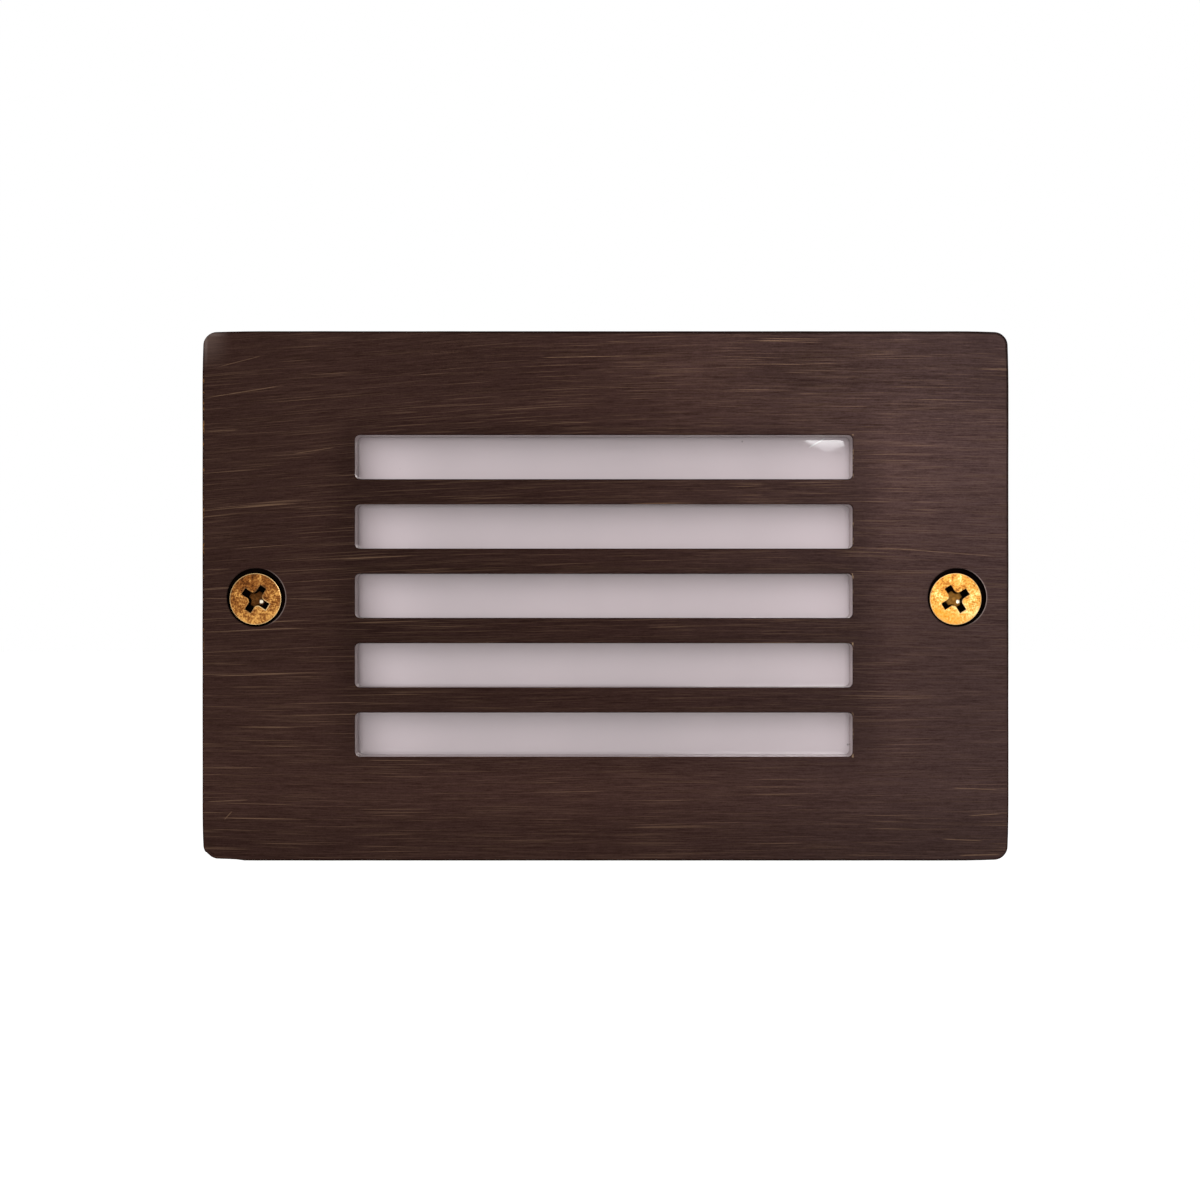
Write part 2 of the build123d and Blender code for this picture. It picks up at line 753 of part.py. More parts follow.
# Holder screw: fixes the holder to its bracket.
with BuildPart() as holder_screw:
    with BuildSketch(Plane.XY.offset(bracket_side - bracket_sheet)):
        with Locations((rivet_x, lamp_depth)):
            Circle(bracket_screw_radius)
    extrude(amount=bracket_sheet + bracket_screw_bite)
    with BuildSketch(Plane.XY.offset(bracket_side - bracket_sheet)):
        with Locations((rivet_x, lamp_depth)):
            Circle(small_head_radius)
    extrude(amount=-small_head_height)
    fillet(holder_screw.faces().sort_by(Axis.Z)[0].edges(), small_head_height / 2)
holder_screw.part.label = "holder_screw"
export_step(holder_screw.part, "parts/holder_screw.step")

# Bracket rivet: holds the bracket's foot on the reflector's floor.
with BuildPart() as bracket_rivet:
    with BuildSketch(at_depth(reflector_back)):
        with Locations((rivet_x, rivet_z)):
            Circle(rivet_radius)
    extrude(amount=reflector_sheet + bracket_sheet)
    with BuildSketch(at_depth(bracket_floor - bracket_sheet)):
        with Locations((rivet_x, rivet_z)):
            Circle(rivet_head_radius)
    extrude(amount=rivet_head_height)
    with BuildSketch(at_depth(reflector_back + rivet_head_height)):
        with Locations((rivet_x, rivet_z)):
            Circle(rivet_head_radius)
    extrude(amount=rivet_head_height)
bracket_rivet.part.label = "bracket_rivet"
export_step(bracket_rivet.part, "parts/bracket_rivet.step")

# Lamp capsule: glass bulb with a flat pinch at its foot.
pinch_start = holder_front + lamp_seat_gap
bulb_start = pinch_start + lamp_pinch_length
bulb_end = bulb_start + lamp_bulb_length
dome_start = bulb_end - lamp_radius
with BuildPart() as lamp_capsule:
    with BuildSketch(Plane.XY):
        with BuildLine():
            Line((bulb_start, lamp_depth), (bulb_start, lamp_depth + lamp_radius))
            Line((bulb_start, lamp_depth + lamp_radius), (dome_start, lamp_depth + lamp_radius))
            RadiusArc(
                (dome_start, lamp_depth + lamp_radius), (bulb_end, lamp_depth), lamp_radius
            )
            Line((bulb_end, lamp_depth), (bulb_start, lamp_depth))
        make_face()
    revolve(axis=Axis((0, lamp_depth, 0), (1, 0, 0)))
    with BuildSketch(Plane.YZ.offset(pinch_start)):
        with Locations((lamp_depth, 0)):
            Rectangle(lamp_pinch_height, lamp_pinch_thickness)
    extrude(amount=lamp_pinch_length + lamp_wall)
    with BuildSketch(Plane.XY):
        with BuildLine():
            inner = lamp_radius - lamp_wall
            cavity_start = bulb_start + lamp_wall
            Line((cavity_start, lamp_depth), (cavity_start, lamp_depth + inner))
            Line((cavity_start, lamp_depth + inner), (dome_start, lamp_depth + inner))
            RadiusArc(
                (dome_start, lamp_depth + inner), (bulb_end - lamp_wall, lamp_depth), inner
            )
            Line((bulb_end - lamp_wall, lamp_depth), (cavity_start, lamp_depth))
        make_face()
    revolve(axis=Axis((0, lamp_depth, 0), (1, 0, 0)), mode=Mode.SUBTRACT)
lamp_capsule.part.label = "lamp_capsule"
export_step(lamp_capsule.part, "parts/lamp_capsule.step")

# Lamp pins: two wires that plug into the contacts.
with BuildPart() as lamp_pins:
    with BuildSketch(Plane.YZ.offset(pinch_start)):
        with Locations(*[(depth, 0) for depth in pin_depths]):
            Circle(lamp_pin_radius)
    extrude(amount=-lamp_pin_length)
lamp_pins.part.label = "lamp_pins"
export_step(lamp_pins.part, "parts/lamp_pins.step")

# Lamp filament: the coil across its two stems.
stem_end = cavity_start + filament_stem_length
filament_ends = [lamp_depth - filament_length / 2, lamp_depth + filament_length / 2]
with BuildPart() as lamp_filament:
    with BuildSketch(Plane.YZ.offset(cavity_start)):
        with Locations(*[(depth, 0) for depth in filament_ends]):
            Circle(filament_stem_radius)
    extrude(amount=filament_stem_length)
    with BuildSketch(at_depth(filament_ends[1] + filament_radius)):
        with Locations((stem_end, 0)):
            Circle(filament_radius)
    extrude(amount=filament_length + 2 * filament_radius)
lamp_filament.part.label = "lamp_filament"
export_step(lamp_filament.part, "parts/lamp_filament.step")


# ================================================================ leads and terminals
# Leads: from the holder's rear, through the reflector's floor and into the terminals.
contact_rear = contact_front - contact_length
lead_end_z = block_centre_z - lead_tail
for lead_name, pin_depth, lead_x in (
    ("front_lead", pin_depths[0], lead_front_x),
    ("rear_lead", pin_depths[1], lead_rear_x),
):
    lead_route = [
        Vector(contact_rear, pin_depth, 0),
        Vector(lead_x, pin_depth, 0),
        Vector(lead_x, clamp_depth, 0),
        Vector(lead_x, clamp_depth, lead_end_z),
    ]
    runs = [(end - start).length for start, end in zip(lead_route, lead_route[1:])]
    lead_bends = [bend_share * min(runs[:2]), bend_share * min(runs[1:])]
    with BuildPart() as lead:
        with BuildLine() as lead_line:
            FilletPolyline(*lead_route, radius=lead_bends)
        with BuildSketch(Plane.YZ.offset(contact_rear)):
            with Locations((pin_depth, 0)):
                Circle(lead_radius)
        sweep(path=lead_line.wire())
    lead.part.label = lead_name
    export_step(lead.part, f"parts/{lead_name}.step")

# Terminal block: insulator with a bore for each clamp and wells for the screws.
pole_places = [(lead_front_x, clamp_depth), (lead_rear_x, clamp_depth)]
screw_wells = [
    (x, block_centre_z + rise)
    for x in (lead_front_x, lead_rear_x)
    for rise in (-clamp_screw_spacing / 2, clamp_screw_spacing / 2)
]
with BuildPart() as terminal_block:
    with BuildSketch(at_depth(block_base)):
        with Locations((block_middle, block_centre_z)):
            Rectangle(block_width, block_height)
    extrude(amount=block_depth)
    fillet(terminal_block.edges().filter_by(Axis.Y), block_edge_radius)
    with BuildSketch(Plane.XY.offset(block_top)):
        with Locations(*pole_places):
            Circle(clamp_radius + clamp_fit)
    extrude(amount=-block_height, mode=Mode.SUBTRACT)
    with BuildSketch(at_depth(clamp_depth)):
        with Locations(*screw_wells):
            Circle(clamp_access_radius)
    extrude(amount=block_depth / 2, mode=Mode.SUBTRACT)
    with BuildSketch(at_depth(block_base)):
        with Locations((block_middle, block_centre_z)):
            Circle(block_screw_radius + screw_fit)
    extrude(amount=block_depth, mode=Mode.SUBTRACT)
    with BuildSketch(at_depth(block_front)):
        with Locations((block_middle, block_centre_z)):
            Circle(block_screw_head_radius + screw_fit)
    extrude(amount=-block_screw_head_height, mode=Mode.SUBTRACT)
terminal_block.part.label = "terminal_block"
export_step(terminal_block.part, "parts/terminal_block.step")

# Terminal clamps: brass sleeves that take the leads' ends.
with BuildPart() as terminal_clamps:
    with BuildSketch(Plane.XY.offset(block_centre_z)):
        with Locations(*pole_places):
            Circle(clamp_radius)
            Circle(clamp_bore_radius, mode=Mode.SUBTRACT)
    extrude(amount=clamp_length / 2, both=True)
    with BuildSketch(at_depth(clamp_depth)):
        with Locations(*screw_wells):
            Circle(clamp_screw_radius + screw_fit)
    extrude(amount=block_depth / 2, mode=Mode.SUBTRACT)
terminal_clamps.part.label = "terminal_clamps"
export_step(terminal_clamps.part, "parts/terminal_clamps.step")

# Terminal screws: slotted grub screws, two to a clamp.
clamp_screw_top = block_front + clamp_screw_sink
with BuildPart() as terminal_screws:
    with BuildSketch(at_depth(clamp_screw_top + clamp_screw_length)):
        with Locations(*screw_wells):
            Circle(clamp_screw_radius)
    extrude(amount=clamp_screw_length)
    with BuildSketch(at_depth(clamp_screw_top)):
        with Locations(*screw_wells):
            Rectangle(2 * clamp_screw_radius, clamp_screw_slot)
    extrude(amount=-clamp_screw_sink, mode=Mode.SUBTRACT)
terminal_screws.part.label = "terminal_screws"
export_step(terminal_screws.part, "parts/terminal_screws.step")

# Block screw: fixes the terminal block to its pad.
with BuildPart() as block_screw:
    with BuildSketch(at_depth(block_front + block_screw_length)):
        with Locations((block_middle, block_centre_z)):
            Circle(block_screw_radius)
    extrude(amount=block_screw_length)
    with BuildSketch(at_depth(block_front + block_screw_head_height)):
        with Locations((block_middle, block_centre_z)):
            Circle(block_screw_head_radius)
    extrude(amount=block_screw_head_height)
block_screw.part.label = "block_screw"
export_step(block_screw.part, "parts/block_screw.step")


# ================================================================ cable gland
def hexagon_radius(width_across_flats):
    """Corner radius of a hexagon from its width across flats."""
    return width_across_flats / math.sqrt(3)


gland_place = (gland_x, gland_z)
gland_axis = Axis((gland_x, 0, gland_z), (0, 1, 0))
gland_hex_front = housing_depth + gland_washer_thickness
gland_hex_back = gland_hex_front + gland_hex_length
neck_end = gland_hex_back + gland_neck_length
finger_end = neck_end + gland_finger_length
seal_start = gland_hex_back + gland_seal_seat
thread_start = gland_hex_front - gland_thread_length

# Gland body: thread, hexagon, neck and clamping fingers.
with BuildPart() as gland_body:
    with BuildSketch(Plane.XY.offset(gland_z)):
        with BuildLine():
            Polyline(
                (gland_x + gland_bore_radius, thread_start),
                (gland_x + gland_thread_radius, thread_start),
                (gland_x + gland_thread_radius, gland_hex_back),
                (gland_x + gland_neck_radius, gland_hex_back),
                (gland_x + gland_neck_radius, neck_end),
                (gland_x + gland_finger_radius, neck_end),
                (gland_x + gland_finger_tip_radius, finger_end),
                (gland_x + gland_seal_radius + gland_seal_fit, finger_end),
                (gland_x + gland_seal_radius + gland_seal_fit, seal_start),
                (gland_x + gland_bore_radius, seal_start),
                close=True,
            )
        make_face()
    revolve(axis=gland_axis)
    with BuildSketch(at_depth(gland_hex_back)):
        with Locations(gland_place):
            RegularPolygon(hexagon_radius(gland_hex_width), 6)
            Circle(gland_bore_radius, mode=Mode.SUBTRACT)
    extrude(amount=gland_hex_length)
    with BuildSketch(at_depth(finger_end)):
        with Locations(gland_place):
            for finger in range(gland_finger_count // 2):
                Rectangle(
                    2 * gland_neck_radius,
                    gland_finger_slot,
                    rotation=finger * 360 / gland_finger_count,
                )
    extrude(amount=gland_finger_length, mode=Mode.SUBTRACT)
gland_body.part.label = "gland_body"
export_step(gland_body.part, "parts/gland_body.step")

# Gland washer: flat seal between the hexagon and the housing's back.
with BuildPart() as gland_washer:
    with BuildSketch(at_depth(gland_hex_front)):
        with Locations(gland_place):
            Circle(gland_washer_radius)
            Circle(gland_thread_radius + gland_hole_clearance, mode=Mode.SUBTRACT)
    extrude(amount=gland_washer_thickness)
gland_washer.part.label = "gland_washer"
export_step(gland_washer.part, "parts/gland_washer.step")

# Gland locknut: holds the gland from inside the housing.
with BuildPart() as gland_locknut:
    with BuildSketch(at_depth(cavity_back)):
        with Locations(gland_place):
            RegularPolygon(hexagon_radius(locknut_width), 6)
            Circle(gland_thread_radius + thread_fit, mode=Mode.SUBTRACT)
    extrude(amount=locknut_thickness)
gland_locknut.part.label = "gland_locknut"
export_step(gland_locknut.part, "parts/gland_locknut.step")

# Gland seal: rubber sleeve that grips the cable.
with BuildPart() as gland_seal:
    with BuildSketch(at_depth(seal_start)):
        with Locations(gland_place):
            Circle(gland_seal_radius)
            Circle(gland_seal_bore_radius, mode=Mode.SUBTRACT)
    extrude(amount=-gland_seal_length)
gland_seal.part.label = "gland_seal"
export_step(gland_seal.part, "parts/gland_seal.step")

# Gland clamp ring: slides with the nut and presses on the fingers and the seal.
nut_start = gland_hex_back + gland_nut_gap
nut_end = nut_start + gland_nut_length
nut_shoulder = nut_end - gland_nut_end_wall
with BuildPart() as gland_clamp_ring:
    with BuildSketch(at_depth(nut_shoulder - screw_fit)):
        with Locations(gland_place):
            Circle(gland_finger_tip_radius)
            Circle(gland_clamp_bore_radius, mode=Mode.SUBTRACT)
    extrude(amount=gland_clamp_thickness)
gland_clamp_ring.part.label = "gland_clamp_ring"
export_step(gland_clamp_ring.part, "parts/gland_clamp_ring.step")

# Gland nut: cap with a hexagon, a round nose and a threaded mouth.
nut_bore = gland_neck_radius + thread_fit
with BuildPart() as gland_nut:
    with BuildSketch(at_depth(nut_start)):
        with Locations(gland_place):
            RegularPolygon(hexagon_radius(gland_nut_width), 6)
    extrude(amount=-gland_nut_hex_length)
    with BuildSketch(at_depth(nut_start)):
        with Locations(gland_place):
            Circle(gland_nut_width / 2)
    extrude(amount=-(gland_nut_length - gland_nut_end_wall))
    with BuildSketch(Plane.XY.offset(gland_z)):
        with BuildLine():
            Polyline(
                (gland_x, nut_shoulder),
                (gland_x + gland_nut_width / 2, nut_shoulder),
                (gland_x + gland_nut_nose_radius, nut_end),
                (gland_x, nut_end),
                close=True,
            )
        make_face()
    revolve(axis=gland_axis)
    with BuildSketch(at_depth(nut_start)):
        with Locations(gland_place):
            Circle(nut_bore)
    extrude(amount=-(nut_shoulder - nut_start), mode=Mode.SUBTRACT)
    with BuildSketch(at_depth(nut_shoulder)):
        with Locations(gland_place):
            Circle(gland_nut_mouth_radius)
    extrude(amount=-gland_nut_end_wall, mode=Mode.SUBTRACT)
gland_nut.part.label = "gland_nut"
export_step(gland_nut.part, "parts/gland_nut.step")
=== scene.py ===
"""Recessed step light with a brushed, dark brass louvre cover, dressed for a studio picture.

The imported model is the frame. The cover, the screws and the filament are built here in finer
detail, every other part keeps its shape, and each finish is a procedural material.
Sizes in this file are millimetres, and a mesh is scaled to metres when it becomes a piece.
"""

from __future__ import annotations

import functools
import logging
import math
import operator
from collections.abc import Callable, Iterable, Mapping, Sequence
from dataclasses import dataclass
from enum import Enum
from typing import Union

import bmesh
import bpy
from mathutils import Euler, Matrix, Vector, noise


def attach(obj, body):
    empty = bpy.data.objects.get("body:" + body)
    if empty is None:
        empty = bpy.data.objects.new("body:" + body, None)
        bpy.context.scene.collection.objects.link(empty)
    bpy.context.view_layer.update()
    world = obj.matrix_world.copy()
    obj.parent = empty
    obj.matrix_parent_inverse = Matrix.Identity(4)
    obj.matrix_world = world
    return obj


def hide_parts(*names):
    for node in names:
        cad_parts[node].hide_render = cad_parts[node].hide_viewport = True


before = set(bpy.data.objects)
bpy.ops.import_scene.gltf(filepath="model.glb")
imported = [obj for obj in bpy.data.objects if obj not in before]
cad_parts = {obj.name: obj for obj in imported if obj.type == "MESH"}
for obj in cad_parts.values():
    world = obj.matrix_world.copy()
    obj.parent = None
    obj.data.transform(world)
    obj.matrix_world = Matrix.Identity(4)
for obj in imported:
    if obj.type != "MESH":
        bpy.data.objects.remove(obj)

LOG = logging.getLogger("step_light")
MILLIMETRE = 0.001
FULL_TURN = 2 * math.pi
BLACK = (0.0, 0.0, 0.0, 1.0)
WHITE = (1.0, 1.0, 1.0, 1.0)
SCREEN_FULL = 255
SAME_PLACE = 1e-7

Colour = tuple[float, float, float]
Span = tuple[float, float]


# ------------------------------------------------------------------ node expressions
@dataclass(frozen=True)
class Signal:
    """A node socket that can stand in a Python expression."""

    tree: bpy.types.NodeTree
    socket: bpy.types.NodeSocket

    def _math(self, operation: str, *operands: Number, clamp: bool = False) -> Signal:
        """Adds a Math node.

        Args:
            operation: The node's operation.
            operands: Its inputs, in order.
            clamp: Whether the result is kept between 0 and 1.

        Returns:
            The node's result.
        """
        node = self.tree.nodes.new("ShaderNodeMath")
        node.operation = operation
        node.use_clamp = clamp
        for place, operand in zip(node.inputs, operands):
            feed(self.tree, place, operand)
        return Signal(self.tree, node.outputs[0])

    def __add__(self, other: Number) -> Signal:
        """Sum of two numbers."""
        return self._math("ADD", self, other)

    def __radd__(self, other: float) -> Signal:
        """Sum of two numbers, the other way round."""
        return self._math("ADD", other, self)

    def __sub__(self, other: Number) -> Signal:
        """Difference of two numbers."""
        return self._math("SUBTRACT", self, other)

    def __rsub__(self, other: float) -> Signal:
        """Difference of two numbers, the other way round."""
        return self._math("SUBTRACT", other, self)

    def __mul__(self, other: Number) -> Signal:
        """Product of two numbers."""
        return self._math("MULTIPLY", self, other)

    def __rmul__(self, other: float) -> Signal:
        """Product of two numbers, the other way round."""
        return self._math("MULTIPLY", other, self)

    def __truediv__(self, other: Number) -> Signal:
        """Quotient of two numbers."""
        return self._math("DIVIDE", self, other)

    def __pow__(self, other: Number) -> Signal:
        """Power of two numbers."""
        return self._math("POWER", self, other)

    def __abs__(self) -> Signal:
        """The number without its sign."""
        return self._math("ABSOLUTE", self)

    def least(self, other: Number) -> Signal:
        """The smaller of two numbers."""
        return self._math("MINIMUM", self, other)

    def most(self, other: Number) -> Signal:
        """The larger of two numbers."""
        return self._math("MAXIMUM", self, other)

    def clamped(self) -> Signal:
        """The number kept between 0 and 1."""
        return self._math("ADD", self, 0.0, clamp=True)

    def apply(self, operation: str, *others: Number) -> Signal:
        """The result of any other Math operation on this number."""
        return self._math(operation, self, *others)

    def rise(self, low: float, high: float) -> Signal:
        """A smooth step from 0 at low to 1 at high, which may be the smaller number."""
        share = ((self - low) * (1 / (high - low))).clamped()
        return share * share * (3.0 - 2.0 * share)


Number = Union[Signal, float]
Point = tuple[Signal, Signal, Signal]


def feed(tree: bpy.types.NodeTree, place: bpy.types.NodeSocket, value: object) -> None:
    """Links a signal to a socket, or sets the socket's own value.

    Args:
        tree: The node tree that holds the socket.
        place: The socket.
        value: A signal, or a plain value of the socket's kind.
    """
    if isinstance(value, Signal):
        tree.links.new(value.socket, place)
    else:
        place.default_value = value


@dataclass(frozen=True)
class Graph:
    """Adds nodes to a shader or geometry tree."""

    tree: bpy.types.NodeTree

    def add(
        self,
        kind: str,
        settings: Mapping[str, object] | None = None,
        inputs: Mapping[str | int, object] | None = None,
        output: str | int = 0,
    ) -> Signal:
        """Adds one node.

        Args:
            kind: The node's type.
            settings: Its properties, such as a Math node's operation, which are set first.
            inputs: Values or signals for its sockets, by name or number.
            output: The socket that is returned.

        Returns:
            One output of the node.
        """
        node = self.tree.nodes.new(kind)
        for name, value in (settings or {}).items():
            setattr(node, name, value)
        for name, value in (inputs or {}).items():
            feed(self.tree, node.inputs[name], value)
        return Signal(self.tree, node.outputs[output])

    def coordinates(self) -> Point:
        """Reads the surface point in the object's frame.

        Returns:
            Its X, Y and Z, in millimetres.
        """
        metres = self.add("ShaderNodeTexCoord", output="Object")
        point = self.add(
            "ShaderNodeVectorMath", {"operation": "SCALE"}, {0: metres, "Scale": 1 / MILLIMETRE}
        )
        return self.split(point)

    def split(self, vector: Signal) -> Point:
        """Takes a vector apart.

        Args:
            vector: The vector.

        Returns:
            Its three numbers.
        """
        node = self.tree.nodes.new("ShaderNodeSeparateXYZ")
        feed(self.tree, node.inputs[0], vector)
        return tuple(Signal(self.tree, socket) for socket in node.outputs)

    def vector(self, x: Number, y: Number, z: Number) -> Signal:
        """A vector of three numbers."""
        return self.add("ShaderNodeCombineXYZ", None, {0: x, 1: y, 2: z})

    def cells(self, place: Signal, scale: float) -> Signal:
        """Distance to the nearest of many scattered points."""
        return self.add("ShaderNodeTexVoronoi", None, {"Vector": place, "Scale": scale}, "Distance")

    def blend(self, share: Number, low: object, high: object) -> Signal:
        """Mixes two colours.

        Args:
            share: How much of the second one there is, from 0 to 1.
            low: The colour at 0, a value or a signal.
            high: The colour at 1.

        Returns:
            The mixed colour.
        """
        node = self.tree.nodes.new("ShaderNodeMix")
        node.data_type = "RGBA"
        factor, first, second = node.inputs[0], node.inputs[6], node.inputs[7]
        for place, value in ((factor, share), (first, low), (second, high)):
            feed(self.tree, place, value)
        return Signal(self.tree, node.outputs[2])

    def between(self, share: Number, tones: tuple[Colour, Colour]) -> Signal:
        """A colour between two screen colours, by a share from 0 to 1."""
        low, high = tones
        return self.blend(share, colour(*low), colour(*high))


def colour(red: float, green: float, blue: float) -> tuple[float, float, float, float]:
    """A screen colour as Blender's linear colour.

    Args:
        red: Its red, from 0 to 255.
        green: Its green.
        blue: Its blue.

    Returns:
        Linear red, green and blue, with an alpha of 1.
    """

    def linear(part: float) -> float:
        """One part, made linear by the screen's curve."""
        share = part / SCREEN_FULL
        return share / 12.92 if share <= 0.04045 else ((share + 0.055) / 1.055) ** 2.4

    return (linear(red), linear(green), linear(blue), 1.0)


def weighted(parts: Sequence[Signal], weights: Sequence[float]) -> Signal:
    """The sum of signals, each times its weight."""
    return functools.reduce(operator.add, (part * weight for part, weight in zip(parts, weights)))


# ------------------------------------------------------------------ finishes
@dataclass(frozen=True)
class Grain:
    """Smooth noise, stretched into the texture of a surface."""

    waves: tuple[float, float, float]
    shift: tuple[float, float, float] = (0.0, 0.0, 0.0)
    detail: float = 3.0
    roughness: float = 0.5

    def at(self, graph: Graph, point: Point) -> Signal:
        """Reads the noise.

        Args:
            graph: The graph that gets the nodes.
            point: X, Y and Z, in millimetres.

        Returns:
            The noise, around 0.5.
        """
        place = graph.vector(
            *(part * wave + shift for part, wave, shift in zip(point, self.waves, self.shift))
        )
        sizes = {"Vector": place, "Scale": 1.0, "Detail": self.detail, "Roughness": self.roughness}
        return graph.add("ShaderNodeTexNoise", None, sizes, "Fac")


@dataclass(frozen=True)
class Relief:
    """How deep a texture is, in millimetres, and how strongly it bends the light."""

    depth: float
    strength: float

    def normal(self, graph: Graph, height: Signal) -> Signal:
        """A normal tilted by a height from 0 to 1."""
        sizes = {"Height": height, "Distance": self.depth * MILLIMETRE, "Strength": self.strength}
        return graph.add("ShaderNodeBump", None, sizes, "Normal")


@dataclass(frozen=True)
class Finish:
    """A procedural material that parts share."""

    name: str

    def material(self) -> bpy.types.Material:
        """Makes the finish's material, or finds it if it is made.

        Returns:
            The material.
        """
        found = bpy.data.materials.get(self.name)
        if found is None:
            found = bpy.data.materials.new(self.name)
            found.use_nodes = True
            graph = Graph(found.node_tree)
            shader = found.node_tree.nodes["Principled BSDF"]
            for name, value in self.surface(graph).items():
                feed(found.node_tree, shader.inputs[name], value)
        return found

    def surface(self, graph: Graph) -> dict[str, object]:
        """Lays out the finish.

        Args:
            graph: The material's graph.

        Returns:
            The shader's sockets and what feeds them.
        """
        raise NotImplementedError


@dataclass(frozen=True)
class Scratch:
    """A straight scratch on a face, from one point to another in X and Z."""

    start: tuple[float, float]
    end: tuple[float, float]
    width: float = 0.07
    core: float = 0.3
    taper: float = 0.2

    def mask(self, x: Signal, z: Signal) -> Signal:
        """1 on the scratch and 0 away from it.

        Args:
            x: The surface point's X.
            z: Its Z, which may be bent a little.

        Returns:
            The mask, faded at the scratch's ends.
        """
        along = Vector(self.end) - Vector(self.start)
        length = along.length
        ux, uz = along / length
        dx, dz = x - self.start[0], z - self.start[1]
        travel = dx * ux + dz * uz
        off = abs(dx * uz - dz * ux)
        taper = self.taper * length
        ends = travel.rise(0.0, taper) * travel.rise(length, length - taper)
        return off.rise(self.width, self.core * self.width) * ends


class Fold(Enum):
    """Which sides of the cover a painted shade lies on."""

    ONE_SIDE = "one side"
    BOTH_SIDES = "both sides"
    ALL_ROUND = "all round"


@dataclass(frozen=True)
class PaintedShade:
    """Painted shade: a darker area of the cover that fades along X and Z."""

    strength: float
    up: Span
    along: Span | None = None
    fold: Fold = Fold.ONE_SIDE
    centre: float = 0.0

    def mask(self, x: Signal, z: Signal) -> Signal:
        """Where the painted shade lies.

        Args:
            x: The surface point's X.
            z: Its Z.

        Returns:
            1 in the painted shade, and 0 away from it.
        """
        fade = (abs(z) if self.fold is Fold.ALL_ROUND else z).rise(*self.up)
        if self.along is None:
            return fade
        side = x if self.fold is Fold.ONE_SIDE else abs(x - self.centre)
        return fade * side.rise(*self.along)


